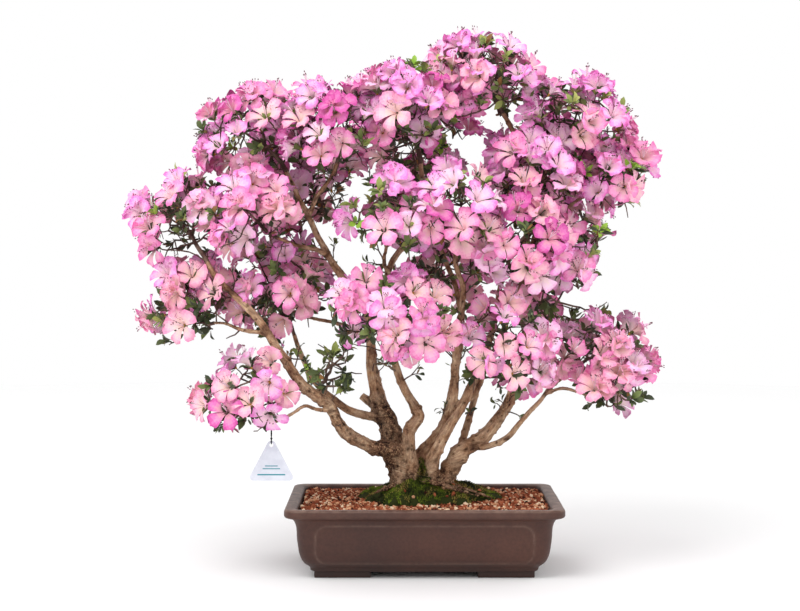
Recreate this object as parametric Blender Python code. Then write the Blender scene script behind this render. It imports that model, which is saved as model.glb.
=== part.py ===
# Azalea bonsai in a low rectangular pot: a clump of tapering stems from one flared foot, with
# masses of blossom and leaf on the ends of the boughs. Sizes are millimetres; meshes are in metres.
import math
import random

import bmesh
import bpy
from mathutils import Matrix, Vector
from mathutils.bvhtree import BVHTree

METRE = 0.001
CLEAR = 0.35           # gap left between parts that touch
SHIFT = Vector((31, -14, 0))   # from the pot's middle to the middle of the whole plant
EYE = Vector((-31, -2425, 440))  # standpoint for positions given as they look from the front

# Pot: half length of each outer ring by height; the half depth is shorter by POT_NARROWER.
POT_NARROWER = 50
POT_CORNER = 13
POT_OUTSIDE = [(8, 144), (9.5, 145.5), (13, 145.5), (20, 154), (21.5, 155), (35, 159.3), (65, 162),
               (66.5, 162.4), (77, 166), (79.5, 175.8), (88.5, 177), (90, 175.5)]
POT_INSIDE = [(90, 162), (86, 160), (18, 141)]
PANEL_HALF = (139, 87)  # half length of the sunk panel on the long and the short sides
PANEL_BAND = (21, 65.5)
PANEL_SINK = 1.3
PANEL_EDGE = 1.5
FOOT_HIGH = 8.6
FOOT_LONG = 72
FOOT_RETURN = 44
FOOT_WIDE = 20
FOOT_OUT = (140, 90)

SOIL_SINK = 8          # top of the soil below the rim at the walls
SOIL_TOP = 86
MOSS_HALF = (92, 62)

# Foot of the clump: height, half width, half depth.
FOOT_RINGS = [(86.4, 66, 50), (92, 57, 43), (102, 48.5, 38), (118, 42.5, 35), (134, 39.5, 32), (147, 29, 22)]
FOOT_ROOTS = 7

# Limbs. way: x and z as seen from the front at the pot's middle plane, then the depth y.
# thick: half thickness at the foot and at the tip. waist: shares along it with their half thickness.
# off: the limb it springs from.
LIMBS = {
    "stem_front_left": dict(thick=(10.5, 3.6), sides=7, way=[
        (-43, 152, -25), (-69, 156, -40), (-102, 174, -55), (-127, 211, -66), (-160, 238, -74),
        (-191, 284, -80), (-226, 333, -80), (-268, 372, -66), (-286, 400, -55)]),
    "stem_rough_left": dict(thick=(14.5, 3.4), waist=((0.12, 13.4), (0.19, 7.8)), sides=7, way=[
        (-41, 160, 4), (-45, 183, 4), (-58, 208, 4), (-69, 265, 8), (-72, 332, 14), (-95, 360, 14),
        (-133, 420, 4), (-156, 468, -6), (-182, 520, -10)]),
    "stem_elbowed": dict(thick=(9.6, 3.6), waist=((0.1, 8.2), (0.16, 6)), sides=6, way=[
        (-20, 160, -22), (-19, 176, -25), (-12, 187, -26), (-5, 196, -26), (-12, 208, -24),
        (-24, 229, -20), (-43, 284, -12), (-54, 345, 0), (-43, 394, 6), (-15, 437, 2), (0, 480, -8),
        (-4, 530, -22)]),
    "stem_middle": dict(thick=(8.2, 3.4), sides=6, way=[
        (4, 155, 0), (25, 179, -6), (33, 195, -8), (39, 222, -20), (43, 281, -44), (50, 333, -58), (52, 362, -64),
        (43, 396, -74), (43, 418, -82)]),
    "stem_right_middle": dict(thick=(8, 3.2), sides=6, way=[
        (18, 153, -26), (33, 181, -28), (54, 216, -24), (73, 259, -16), (87, 296, -12), (97, 336, -18),
        (101, 365, -34), (108, 388, -48)]),
    "stem_right": dict(thick=(11, 3.4), waist=((0.05, 10), (0.14, 7.8)), sides=7, way=[
        (54, 153, -8), (77, 168, -6), (104, 199, 0), (126, 251, 8), (134, 312, 12), (130, 345, 14),
        (133, 415, 16), (143, 480, 12), (139, 525, 6), (116, 575, 2), (104, 596, 0)]),
    "stem_back_right": dict(thick=(5.4, 3.2), sides=6, way=[
        (47, 152, 24), (54, 172, 30), (58, 189, 38), (70, 228, 62), (94, 285, 96), (122, 350, 122), (140, 410, 130),
        (148, 444, 130)]),
    "stem_back_left": dict(thick=(8.5, 3.2), sides=6, way=[
        (-32, 152, 34), (-46, 192, 66), (-66, 262, 104), (-75, 330, 128), (-112, 390, 138),
        (-152, 424, 140)]),
    "stem_back_middle": dict(thick=(6.4, 3.2), sides=6, way=[
        (6, 154, 36), (28, 192, 66), (43, 262, 106), (50, 330, 128), (30, 400, 138), (-6, 474, 138)]),
    "stem_far_right": dict(off="stem_right", thick=(5, 2.8), sides=5, way=[
        (60, 160, -8), (80, 155, -20), (108, 167, -32), (127, 187, -40), (150, 212, -44),
        (168, 234, -42), (186, 250, -36)]),
    "cut_snag": dict(off="stem_rough_left", thick=(5.8, 5.2), sides=6, way=[
        (-54, 203, 6), (-69, 213, 9), (-82, 223, 11)]),
    "bough_left_inner": dict(off="stem_rough_left", thick=(7, 3.2), sides=6, way=[
        (-46, 190, 4), (-70, 196, -8), (-97, 204, -18), (-134, 231, -34), (-157, 268, -30),
        (-171, 305, -20)]),
    "branch_tagged": dict(off="stem_front_left", thick=(3.4, 2.2), sides=5, way=[
        (-117, 204, -64), (-140, 204, -82), (-157, 210, -92), (-171, 201, -98), (-190, 190, -103),
        (-208, 186, -104)]),
    "bough_left_low": dict(off="stem_front_left", thick=(3.6, 2.4), sides=5, way=[
        (-205, 305, -80), (-236, 310, -66), (-262, 318, -48), (-278, 319, -40)]),
    "bough_left_shoulder": dict(off="stem_rough_left", thick=(4, 2.6), sides=5, way=[
        (-128, 411, 5), (-152, 418, -20), (-176, 424, -42), (-194, 432, -52)]),
    "bough_upper_middle": dict(off="stem_rough_left", thick=(3.8, 2.6), sides=5, way=[
        (-152, 460, -4), (-138, 488, -22), (-122, 510, -36), (-114, 530, -42)]),
    "bough_front_low": dict(off="stem_elbowed", thick=(3.8, 2.6), sides=5, way=[
        (-40, 278, -13), (-36, 289, -44), (-38, 296, -76), (-42, 305, -96)]),
    "bough_front_left": dict(off="stem_elbowed", thick=(3.6, 2.6), sides=5, way=[
        (-46, 384, 6), (-52, 400, -26), (-50, 415, -52), (-47, 426, -66)]),
    "bough_front_right": dict(off="stem_right", thick=(4, 2.6), sides=5, way=[
        (101, 192, -2), (108, 208, -28), (112, 225, -50), (114, 240, -60)]),
    "bough_right_middle": dict(off="stem_right", thick=(4, 2.6), sides=5, way=[
        (131, 370, 15), (152, 385, 4), (170, 394, -8), (186, 398, -14)]),
    "bough_right_shoulder": dict(off="stem_right", thick=(4.2, 2.6), sides=5, way=[
        (133, 412, 16), (160, 440, 24), (190, 470, 24), (212, 486, 22)]),
    "bough_upper_right": dict(off="stem_right", thick=(4, 2.6), sides=5, way=[
        (142, 474, 12), (158, 510, 8), (172, 535, 4), (182, 552, 2)]),
    "bough_right_skirt": dict(off="stem_far_right", thick=(2.9, 2.2), sides=5, way=[
        (160, 225, -43), (182, 233, -52), (203, 228, -54), (220, 221, -52)]),
    "bough_back_left_low": dict(off="stem_back_left", thick=(3.8, 2.6), sides=5, way=[
        (-70, 300, 117), (-104, 316, 126), (-138, 324, 130), (-160, 328, 131)]),
    "bough_back_low": dict(off="stem_back_middle", thick=(3.8, 2.6), sides=5, way=[
        (46, 292, 116), (40, 308, 134), (29, 324, 150), (19, 340, 156)]),
    "bough_back_right_low": dict(off="stem_back_right", thick=(3.8, 2.6), sides=5, way=[
        (94, 280, 94), (118, 296, 108), (142, 308, 114), (156, 318, 116)]),
}

# Masses: the limb each grows from and how far along it, the mass's middle as seen from the front,
# its depth, its half sizes, its blossoms and its rosettes of leaves.
MASSES = {
    "blossom_upper_left": ("stem_rough_left", 1, (-224, 568), -5, (77, 88, 68), 9, 2),
    "blossom_upper_middle": ("bough_upper_middle", 1, (-121, 576), -48, (66, 86, 68), 8, 2),
    "blossom_top": ("stem_elbowed", 1, (-21, 605), -42, (64, 86, 66), 8, 2),
    "blossom_apex": ("stem_right", 1, (78, 640), 0, (76, 90, 61), 9, 2),
    "blossom_upper_right": ("bough_upper_right", 1, (202, 593), 0, (76, 90, 54), 9, 2),
    "blossom_right_shoulder": ("bough_right_shoulder", 1, (252, 512), 12, (66, 84, 52), 8, 2),
    "blossom_right_inner": ("stem_right", 0.78, (147, 514), -42, (56, 60, 54), 6, 1),
    "blossom_left_shoulder": ("bough_left_shoulder", 1, (-228, 462), -62, (60, 78, 56), 8, 1),
    "blossom_far_left": ("stem_front_left", 1, (-321, 462), -8, (62, 82, 60), 8, 2),
    "blossom_left_low": ("bough_left_low", 1, (-314, 343), -30, (60, 66, 58), 7, 2),
    "blossom_tagged": ("branch_tagged", 1, (-240, 223), -95, (62, 62, 56), 7, 2),
    "blossom_low_spray": ("bough_left_inner", 0.6, (-118, 262), -60, (44, 44, 40), 2, 0),
    "blossom_left_inner": ("bough_left_inner", 1, (-196, 362), -8, (68, 72, 62), 7, 1),
    "blossom_front_left": ("bough_front_left", 1, (-47, 462), -96, (58, 70, 54), 7, 2),
    "blossom_front_middle": ("stem_middle", 1, (46, 472), -106, (58, 70, 56), 7, 2),
    "blossom_front_low": ("bough_front_low", 1, (-46, 325), -128, (82, 66, 57), 8, 1),
    "blossom_middle_right": ("stem_right_middle", 1, (128, 425), -76, (62, 74, 62), 8, 2),
    "blossom_right_middle": ("bough_right_middle", 1, (208, 411), -16, (57, 76, 58), 7, 2),
    "blossom_front_right": ("bough_front_right", 1, (110, 284), -76, (62, 64, 76), 8, 1),
    "blossom_right_low": ("stem_far_right", 1, (232, 282), -18, (76, 76, 50), 7, 2),
    "blossom_right_skirt": ("bough_right_skirt", 1, (250, 228), -48, (60, 58, 44), 4, 2),
    "blossom_back_left": ("stem_back_left", 1, (-172, 500), 116, (92, 84, 76), 7, 2),
    "blossom_back_top": ("stem_back_middle", 1, (-10, 552), 118, (90, 86, 78), 7, 2),
    "blossom_back_right": ("stem_back_right", 1, (158, 520), 112, (88, 84, 76), 7, 2),
    "blossom_back_left_low": ("bough_back_left_low", 1, (-190, 366), 112, (84, 78, 68), 6, 2),
    "blossom_back_low": ("bough_back_low", 1, (14, 400), 150, (88, 74, 76), 6, 2),
    "blossom_back_right_low": ("bough_back_right_low", 1, (184, 362), 106, (78, 78, 66), 6, 2),
}
CROWN_CORE = Vector((0, 10, 360))

BLOSSOM_REACH = 34     # half width of a blossom across its lobes
BLOSSOM_NOTCH = 0.66   # the gap between lobes, as a share of the reach
LOBE_HALF = 0.3        # half the angle across a lobe's blunt end
BLOSSOM_DEEP = 24      # from the back of the tube to the lobes
THROAT_UP = 12
TRIES = 70             # directions tried over each mass
BLOSSOM_APART = 34
SPACE_GIVE = 1.3       # how far lobes may stand out of a mass's ellipsoid, as a square
WALL_GIVE = 16         # how far a mass may reach past the middle between two masses
LEAF_LONG = 37
LEAF_WIDE = 17
STEM_THICK = 3.2       # of a mass's own stem; its twigs are sunk in it
TWIG_FOOT = 1.35
TWIG_TIP = 1.5

TAG_HANGS_AT = 0.92    # along the branch that carries it
TAG_TOP_BELOW = 28     # its hole below that branch
TAG_HALF_WIDE = 28
TAG_HIGH = 50
TAG_THICK = 1.2
TAG_HOLE = 2.6
TIE_THICK = 0.6


def placed(x, z, y):
    away = 1 + y / -EYE.y
    return Vector((EYE.x + (x - EYE.x) * away, y, EYE.z + (z - EYE.z) * away))


def surface(name, colour, rough, metallic=0.0):
    made = bpy.data.materials.new(name)
    made.use_nodes = True
    shader = made.node_tree.nodes["Principled BSDF"]
    shader.inputs["Base Color"].default_value = (*colour, 1)
    shader.inputs["Roughness"].default_value = rough
    shader.inputs["Metallic"].default_value = metallic
    return made


def solid(name, shape, material):
    points, faces = shape
    mesh = bpy.data.meshes.new(name)
    mesh.from_pydata([(p + SHIFT) * METRE for p in points], [], faces)
    mesh.materials.append(material)
    thing = bpy.data.objects.new(name, mesh)
    bpy.context.scene.collection.objects.link(thing)
    shell = bmesh.new()
    shell.from_mesh(mesh)
    bmesh.ops.recalc_face_normals(shell, faces=shell.faces)
    shell.to_mesh(mesh)
    shell.free()
    return thing


def fused(base, others, operation, solver):
    # Joins or cuts base with all the others at once, then removes them.
    group = bpy.data.collections.new("operands")
    bpy.context.scene.collection.children.link(group)
    for other in others:
        bpy.context.scene.collection.objects.unlink(other)
        group.objects.link(other)
    step = base.modifiers.new("join", "BOOLEAN")
    step.operation = operation
    step.solver = solver
    step.operand_type = "COLLECTION"
    step.collection = group
    bpy.context.view_layer.update()
    view = bpy.context.evaluated_depsgraph_get()
    result = bpy.data.meshes.new_from_object(base.evaluated_get(view))
    base.modifiers.remove(step)
    base.data = result
    for other in others:
        bpy.data.objects.remove(other, do_unlink=True)
    bpy.data.collections.remove(group)
    keep_body(base)


def keep_body(thing):
    # Keeps the largest closed piece: scraps are dropped and sealed hollows filled.
    shell = bmesh.new()
    shell.from_mesh(thing.data)
    bmesh.ops.remove_doubles(shell, verts=shell.verts, dist=0.000002)
    bmesh.ops.triangulate(shell, faces=shell.faces)
    pieces = []
    unseen = set(shell.faces)
    while unseen:
        piece = [unseen.pop()]
        for face in piece:
            for edge in face.edges:
                for near in edge.link_faces:
                    if near in unseen:
                        unseen.discard(near)
                        piece.append(near)
        pieces.append(piece)
    largest = max(pieces, key=body_volume)
    rest = [face for piece in pieces if piece is not largest for face in piece]
    bmesh.ops.delete(shell, geom=rest, context="FACES")
    shell.to_mesh(thing.data)
    shell.free()


def body_volume(faces):
    total = 0.0
    for face in faces:
        a, b, c = (v.co for v in face.verts)
        total += a.dot(b.cross(c)) / 6
    return total


def smooth_way(way, spacing):
    # A curve through the points, with a station about every spacing.
    points = [way[0] * 2 - way[1]] + way + [way[-1] * 2 - way[-2]]
    made = [way[0]]
    for i in range(1, len(points) - 2):
        p0, p1, p2, p3 = points[i - 1:i + 3]
        steps = max(1, round((p2 - p1).length / spacing))
        for k in range(1, steps + 1):
            t = k / steps
            made.append(0.5 * (2 * p1 + (p2 - p0) * t + (2 * p0 - 5 * p1 + 4 * p2 - p3) * t * t
                               + (3 * p1 - 3 * p2 + p3 - p0) * t ** 3))
    return made


def tube(stations, radii, sides, uneven=None):
    # A closed limb; its rings follow the curve without twisting.
    count = len(stations)
    ahead = [(stations[min(i + 1, count - 1)] - stations[max(i - 1, 0)]).normalized() for i in range(count)]
    side = ahead[0].orthogonal().normalized()
    points = []
    for i in range(count):
        side = (side - ahead[i] * side.dot(ahead[i])).normalized()
        across = ahead[i].cross(side)
        for k in range(sides):
            turn = 2 * math.pi * k / sides
            swell = uneven[i][k] if uneven else 1
            points.append(stations[i] + (side * math.cos(turn) + across * math.sin(turn)) * radii[i] * swell)
    faces = [(i * sides + k, i * sides + (k + 1) % sides, (i + 1) * sides + (k + 1) % sides, (i + 1) * sides + k)
             for i in range(count - 1) for k in range(sides)]
    faces.append(tuple(reversed(range(sides))))
    faces.append(tuple(range((count - 1) * sides, count * sides)))
    return points, faces


def rings_joined(rings):
    count = len(rings[0])
    points = [p for ring in rings for p in ring]
    faces = [(i * count + k, i * count + (k + 1) % count, (i + 1) * count + (k + 1) % count, (i + 1) * count + k)
             for i in range(len(rings) - 1) for k in range(count)]
    faces.append(tuple(reversed(range(count))))
    faces.append(tuple(range((len(rings) - 1) * count, len(rings) * count)))
    return points, faces


def pot_ring(height, half, corner, sunk=0.0):
    # A rounded rectangle, with extra points where the sunk panels begin and end.
    long, deep = half, half - POT_NARROWER
    points = []
    sides = [((1, 0), (0, 1), long, deep, PANEL_HALF[1]), ((0, 1), (-1, 0), deep, long, PANEL_HALF[0]),
             ((-1, 0), (0, -1), long, deep, PANEL_HALF[1]), ((0, -1), (1, 0), deep, long, PANEL_HALF[0])]
    for out, along, reach, run, panel in sides:
        panel = min(panel, run - corner - 3)
        edges = [(-panel, 0), (-panel + PANEL_EDGE, sunk), (panel - PANEL_EDGE, sunk), (panel, 0)]
        for place, sink in edges:
            points.append(Vector((out[0] * (reach - sink) + along[0] * place,
                                  out[1] * (reach - sink) + along[1] * place, height)))
        for k in range(4):
            turn = math.pi / 2 * k / 3
            x = reach - corner + corner * math.cos(turn)
            y = run - corner + corner * math.sin(turn)
            points.append(Vector((out[0] * x + along[0] * y, out[1] * x + along[1] * y, height)))
    return points


def pot_foot(right, front):
    long, deep = FOOT_OUT
    outline = [(long, deep), (long - FOOT_LONG, deep), (long - FOOT_LONG, deep - FOOT_WIDE),
               (long - FOOT_WIDE, deep - FOOT_WIDE), (long - FOOT_WIDE, deep - FOOT_RETURN),
               (long, deep - FOOT_RETURN)]
    points = [Vector((x * right, y * front, z)) for z in (0, FOOT_HIGH) for x, y in outline]
    faces = [(k, (k + 1) % 6, 6 + (k + 1) % 6, 6 + k) for k in range(6)]
    faces += [(5, 4, 3, 0), (3, 2, 1, 0), (6, 9, 10, 11), (6, 7, 8, 9)]
    return points, faces


def make_pot(material):
    rings = []
    for height, half in POT_OUTSIDE:
        inside = PANEL_BAND[0] < height < PANEL_BAND[1]
        rings.append(pot_ring(height, half, POT_CORNER, PANEL_SINK if inside else 0))
    rings += [pot_ring(height, half, POT_CORNER - 3) for height, half in POT_INSIDE]
    pot = solid("pot", rings_joined(rings), material)
    feet = [solid("foot", pot_foot(right, front), material) for right in (1, -1) for front in (1, -1)]
    fused(pot, feet, "UNION", "EXACT")
    return pot


def make_soil(material):
    rng = random.Random(5)
    rim_half, low_half = POT_INSIDE[1][1], POT_INSIDE[2][1]
    top = POT_INSIDE[0][0] - SOIL_SINK
    wall = low_half + (rim_half - low_half) * (top - POT_INSIDE[2][0]) / (POT_INSIDE[1][0] - POT_INSIDE[2][0])
    corner = POT_CORNER - 3
    rings = [pot_ring(POT_INSIDE[2][0] + 0.4, low_half - 0.6, corner), pot_ring(top, wall - 0.6, corner)]
    for inward, height in ((9, 84), (24, 85), (42, SOIL_TOP)):
        ring = pot_ring(height, wall - inward, corner)
        if inward < 42:
            for p in ring:
                p.z += rng.uniform(-0.8, 0.8)
        rings.append(ring)
    return solid("soil", rings_joined(rings), material)


def foot_rings(grow):
    # The flared foot: roots stand out in ridges that fade as it rises.
    count = FOOT_ROOTS * 3
    rings = []
    for height, wide, deep in FOOT_RINGS:
        up = (height - FOOT_RINGS[0][0]) / (FOOT_RINGS[-1][0] - FOOT_RINGS[0][0])
        ring = []
        for k in range(count):
            turn = 2 * math.pi * k / count
            ridge = 1 + 0.13 * (1 - up) ** 1.4 * math.cos(FOOT_ROOTS * turn + 0.9) + 0.03 * math.sin(3 * turn + 4 * up)
            ring.append(Vector((-2.5 + 1.5 * up + (wide * ridge + grow) * math.cos(turn),
                                (deep * ridge + grow) * math.sin(turn), height)))
        rings.append(ring)
    return rings


def stub_shape(name):
    # The start of a stem inside the foot, ending square where the stem takes over.
    way = limb_way[name]
    out = (way[1] - way[0]).normalized()
    end = way[0] - out * CLEAR
    low = Vector((end.x * 0.45, end.y * 0.5, 112))
    bend = end - out * 14
    thick = limb_thick[name][0]
    return tube([low, bend, end], [thick * 1.25, thick * 1.15, thick * 1.02], 6)


def limb_shape(name, grow=0.0):
    way = limb_way[name]
    thick = [r + grow for r in limb_thick[name]]
    sides = LIMBS[name]["sides"]
    rng = random.Random(name)
    uneven = [[1 + rng.uniform(-0.07, 0.07) for k in range(sides)] for i in way]
    return tube(way, thick, sides, uneven)


def thickness(limb, share):
    # Half thickness a share of the way along, by way of any stated waists.
    foot, tip = limb["thick"]
    marks = [(0, foot), *limb.get("waist", ()), (1, tip)]
    for (start, first), (end, second) in zip(marks, marks[1:]):
        if share <= end:
            return first + (second - first) * ((share - start) / (end - start)) ** 0.8


def lay_out_limbs():
    for name, limb in LIMBS.items():
        way = smooth_way([placed(*point) for point in limb["way"]], 34)
        travelled = [0.0]
        for a, b in zip(way, way[1:]):
            travelled.append(travelled[-1] + (b - a).length)
        limb_way[name] = way
        limb_thick[name] = [thickness(limb, t / travelled[-1]) for t in travelled]


def lobed_shape(at, face, side, outline, throat, stations=None, radii=None):
    # Lobes round a shallow cup, closed underneath; with stations its back runs down into a twig.
    across = face.cross(side)
    count = len(outline)
    points = [at + face * rise + (side * math.cos(turn) + across * math.sin(turn)) * reach
              for turn, reach, rise in outline]
    points.append(at + face * throat)
    faces = [(count, k, (k + 1) % count) for k in range(count)]
    if stations is None:
        points.append(at)
        faces += [(count + 1, (k + 1) % count, k) for k in range(count)]
        return points, faces
    splits = [round((j + 0.5) * count / 3) for j in range(3)]
    starts = [splits[2] - count, splits[0], splits[1]]
    corners = [outline[(starts[j] + splits[j]) // 2 % count][0] for j in range(3)]
    along, out = face, side
    for i in range(len(stations) - 1, -1, -1):
        if i < len(stations) - 1:
            along = (stations[i + 1] - stations[max(i - 1, 0)]).normalized()
            out = (out - along * out.dot(along)).normalized()
        over = along.cross(out)
        points += [stations[i] + (out * math.cos(turn) + over * math.sin(turn)) * radii[i] for turn in corners]
    ring = count + 1
    for j in range(3):
        faces += [(ring + j, (k + 1) % count, k % count) for k in range(starts[j], splits[j])]
        faces.append((ring + j, ring + (j + 1) % 3, splits[j]))
    for i in range(len(stations) - 1):
        low = ring + 3 * i
        faces += [(low + j, low + 3 + j, low + 3 + (j + 1) % 3, low + (j + 1) % 3) for j in range(3)]
    last = ring + 3 * (len(stations) - 1)
    faces.append((last, last + 1, last + 2))
    return points, faces


def blossom_outline(size):
    return [(2 * math.pi * lobe / 5 + lean, BLOSSOM_REACH * size * share, BLOSSOM_DEEP * size * rise)
            for lobe in range(5)
            for lean, share, rise in ((-LOBE_HALF, 1, 1), (LOBE_HALF, 1, 1), (math.pi / 5, BLOSSOM_NOTCH, 0.82))]


def rosette_outline(leaves, lengths):
    outline = []
    half = math.pi / leaves
    lean = math.atan2(LEAF_WIDE / 2, LEAF_LONG * 0.5)
    for leaf, long in enumerate(lengths):
        turn = 2 * half * leaf
        wide = math.hypot(LEAF_WIDE / 2, LEAF_LONG * 0.5) * long
        outline += [(turn - lean, wide, 9 * long), (turn, LEAF_LONG * long, 15 * long), (turn + lean, wide, 9 * long),
                    (turn + half, 5, 5)]
    return outline


class Filled:
    # A finished shape, a little swollen, that later shapes of other kinds keep clear of.
    def __init__(self, shape):
        points, faces = shape
        self.middle = sum(points, Vector()) / len(points)
        self.reach = max((p - self.middle).length for p in points)
        self.tree = BVHTree.FromPolygons(points, faces)


def meets(shape, obstacles, allowed=()):
    trial = Filled(shape)
    for other in obstacles:
        if other in allowed or (other.middle - trial.middle).length > other.reach + trial.reach:
            continue
        if trial.tree.overlap(other.tree):
            return True
    return False


def side_of(face, turn):
    side = face.orthogonal().normalized()
    side.rotate(Matrix.Rotation(turn, 3, face))
    return side


class Mass:
    # Twigs branch from one stem to tips spread over the mass; each tip carries a blossom or a rosette.
    def __init__(self, name):
        self.limb, along, _, _, self.half, self.blossoms_due, self.rosettes_due = MASSES[name]
        self.middle = mass_middle[name]
        self.rng = random.Random(name)
        self.walls = []
        mean = sum(self.half) / 3
        for other, entry in MASSES.items():
            if other != name:
                apart = mass_middle[other] - self.middle
                far = apart.length
                share = 0.5 + (mean ** 2 - (sum(entry[4]) / 3) ** 2) / (2 * far * far)
                self.walls.append((apart / far, self.middle.dot(apart / far) + far * share + WALL_GIVE))
        self.shapes = []
        self.ends = []
        way, thick = limb_way[self.limb], limb_thick[self.limb]
        if along == 1:
            heading = (way[-1] - way[-2]).normalized()
            start = way[-1] + heading * CLEAR
            radius = thick[-1]
        else:
            place = round(along * (len(way) - 1))
            run = (way[place + 1] - way[place - 1]).normalized()
            heading = self.middle - way[place]
            heading = (heading - run * heading.dot(run)).normalized()
            start = way[place] + heading * (thick[place] * 1.08 + CLEAR * 2)
            radius = STEM_THICK
        hub = start + heading * 10
        core = self.middle.lerp(hub, 0.4)
        radii = [radius * 0.98, STEM_THICK, STEM_THICK]
        shape = tube([start, hub, core], radii, 3)
        stem = self.add(shape, shape)
        self.joints = [(hub, 10.0, stem), (hub.lerp(core, 0.5), 10 + (core - hub).length / 2, stem),
                       (core, 10 + (core - hub).length, stem)]

    def add(self, shape, swollen):
        if shape:
            self.shapes.append(shape)
        filled.append(Filled(swollen))
        return filled[-1]

    def holds(self, points):
        for p in points:
            off = p - self.middle
            if sum((off[i] / self.half[i]) ** 2 for i in range(3)) > SPACE_GIVE:
                return False
        return all(p.dot(way) < limit for way, limit in self.walls for p in points)

    def free(self, shape, allowed=()):
        return not meets(shape, filled, allowed) and not meets(shape, limb_filled)

    def route(self, back, face):
        # The way to a point from the joint that serves it best, or None.
        ranked = sorted(self.joints, key=lambda joint: (joint[0] - back).length + 0.3 * joint[1])
        for place, run, parent in ranked[:6]:
            gap = (back - place).length
            if gap < 8:
                continue
            if (back - place).normalized().dot(face) > 0.75 and gap < 50:
                stations, radii = [place, back], [TWIG_FOOT, TWIG_TIP]
            else:
                bend = back - face * min(14, gap * 0.4)
                if (bend - place).length < 6:
                    continue
                stations, radii = [place, bend, back], [TWIG_FOOT, TWIG_TIP * 1.15, TWIG_TIP]
            swollen = tube(stations, [r + 0.4 for r in radii], 3)
            if self.free(swollen, (parent,)):
                return stations, radii, swollen, run
        return None

    def remember(self, stations, run, grown):
        low = stations[-2] if len(stations) == 3 else stations[0].lerp(stations[1], 0.6)
        self.joints.append((low, run + (low - stations[0]).length, grown))
        if len(stations) == 3:
            middle = stations[0].lerp(low, 0.55)
            self.joints.append((middle, run + (middle - stations[0]).length, grown))
        return low

    def tip(self, back, face, side, outline, throat):
        # Adds a twig that ends in these lobes, if there is room for both.
        cup = lobed_shape(back - face * 0.4, face, side, outline, throat + 0.4)
        if not self.holds(cup[0]) or not self.free(cup):
            return False
        found = self.route(back, face)
        if found is None:
            return False
        stations, radii, swollen, run = found
        own = self.add(lobed_shape(back, face, side, outline, throat, stations, radii), swollen)
        self.add(None, cup)
        self.remember(stations, run, own)
        self.ends.append(back)
        return True

    def blossom(self, back, face, size):
        side = side_of(face, self.rng.uniform(0, 1.25))
        return self.tip(back, face, side, blossom_outline(size), THROAT_UP * size)

    def rosette(self, back, face):
        leaves = self.rng.choice((3, 4, 4, 5))
        lengths = [self.rng.uniform(0.82, 1.08) for leaf in range(leaves)]
        side = side_of(face, self.rng.uniform(0, 1.25))
        return self.tip(back + face * 8, face, side, rosette_outline(leaves, lengths), 6)

    def grow(self):
        rng = self.rng
        turn = rng.uniform(0, 6.28)
        rays = []
        for k in range(TRIES):
            level = 1 - 2 * (k + 0.5) / TRIES
            around = turn + k * 2.39996
            flat = math.sqrt(1 - level * level)
            ray = Vector((math.cos(around) * flat, math.sin(around) * flat, level))
            reach = Vector([ray[i] * self.half[i] for i in range(3)])
            outward = (self.middle + reach - CROWN_CORE).normalized()
            rays.append((ray.dot(outward) + rng.uniform(-0.3, 0.3), ray, reach, outward))
        rays.sort(key=lambda entry: -entry[0])
        blossoms = 0
        rosettes = 0
        for pull, size, lowest in ((0.92, 1.0, 0.1), (0.92, 0.86, -0.2), (0.76, 0.95, 0), (0.6, 0.86, -0.5),
                                   (0.86, 0.76, -0.6)):
            for score, ray, reach, outward in rays:
                if score < lowest or blossoms >= self.blossoms_due:
                    break
                face = (ray * 0.9 + outward * 0.7 + Vector((0, -0.12, 0.25))
                        + Vector([rng.uniform(-0.25, 0.25) for i in range(3)])).normalized()
                back = self.middle + reach * pull - face * BLOSSOM_DEEP * size * 0.85
                if any((back - other).length < BLOSSOM_APART * size for other in self.ends):
                    continue
                if rosettes * self.blossoms_due < blossoms * self.rosettes_due:
                    rosettes += self.rosette(back, face)
                else:
                    blossoms += self.blossom(back, face, size)


def make_mass(name, materials):
    mass = Mass(name)
    mass.grow()
    shapes = mass.shapes
    base = solid(name, shapes[0], materials["petal"])
    parts = [solid("piece", shape, materials["petal"]) for shape in shapes[1:]]
    fused(base, parts, "UNION", "MANIFOLD")
    return base


def make_moss(material):
    # A low collar of moss; its inner wall follows the foot's lowest rings.
    rng = random.Random(11)
    inner = foot_rings(1.1)[:3]
    count = len(inner[0])
    inner[0] = [Vector((p.x, p.y, SOIL_TOP + CLEAR)) for p in inner[0]]
    outer = []
    for share, rise in ((0.35, 0.8), (0.75, 0.4), (1.0, 0.1), (1.0, 0.0)):
        ring = []
        for k in range(count):
            turn = 2 * math.pi * k / count
            edge = 1 + 0.08 * math.sin(3 * turn + 1) + 0.05 * math.sin(5 * turn)
            rim = Vector((-2 + MOSS_HALF[0] * edge * math.cos(turn), MOSS_HALF[1] * edge * math.sin(turn), 0))
            top = inner[-1][k]
            wobble = rng.uniform(-1, 1) if rise > 0.2 else 0
            height = SOIL_TOP + CLEAR + (top.z - SOIL_TOP - CLEAR) * rise + wobble
            ring.append(Vector((top.x + (rim.x - top.x) * share, top.y + (rim.y - top.y) * share, height)))
        outer.append(ring)
    rings = inner + outer
    points = [p for ring in rings for p in ring]
    faces = [(i * count + k, i * count + (k + 1) % count, (i + 1) % len(rings) * count + (k + 1) % count,
              (i + 1) % len(rings) * count + k) for i in range(len(rings)) for k in range(count)]
    return solid("moss_mound", (points, faces), material)


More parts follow.
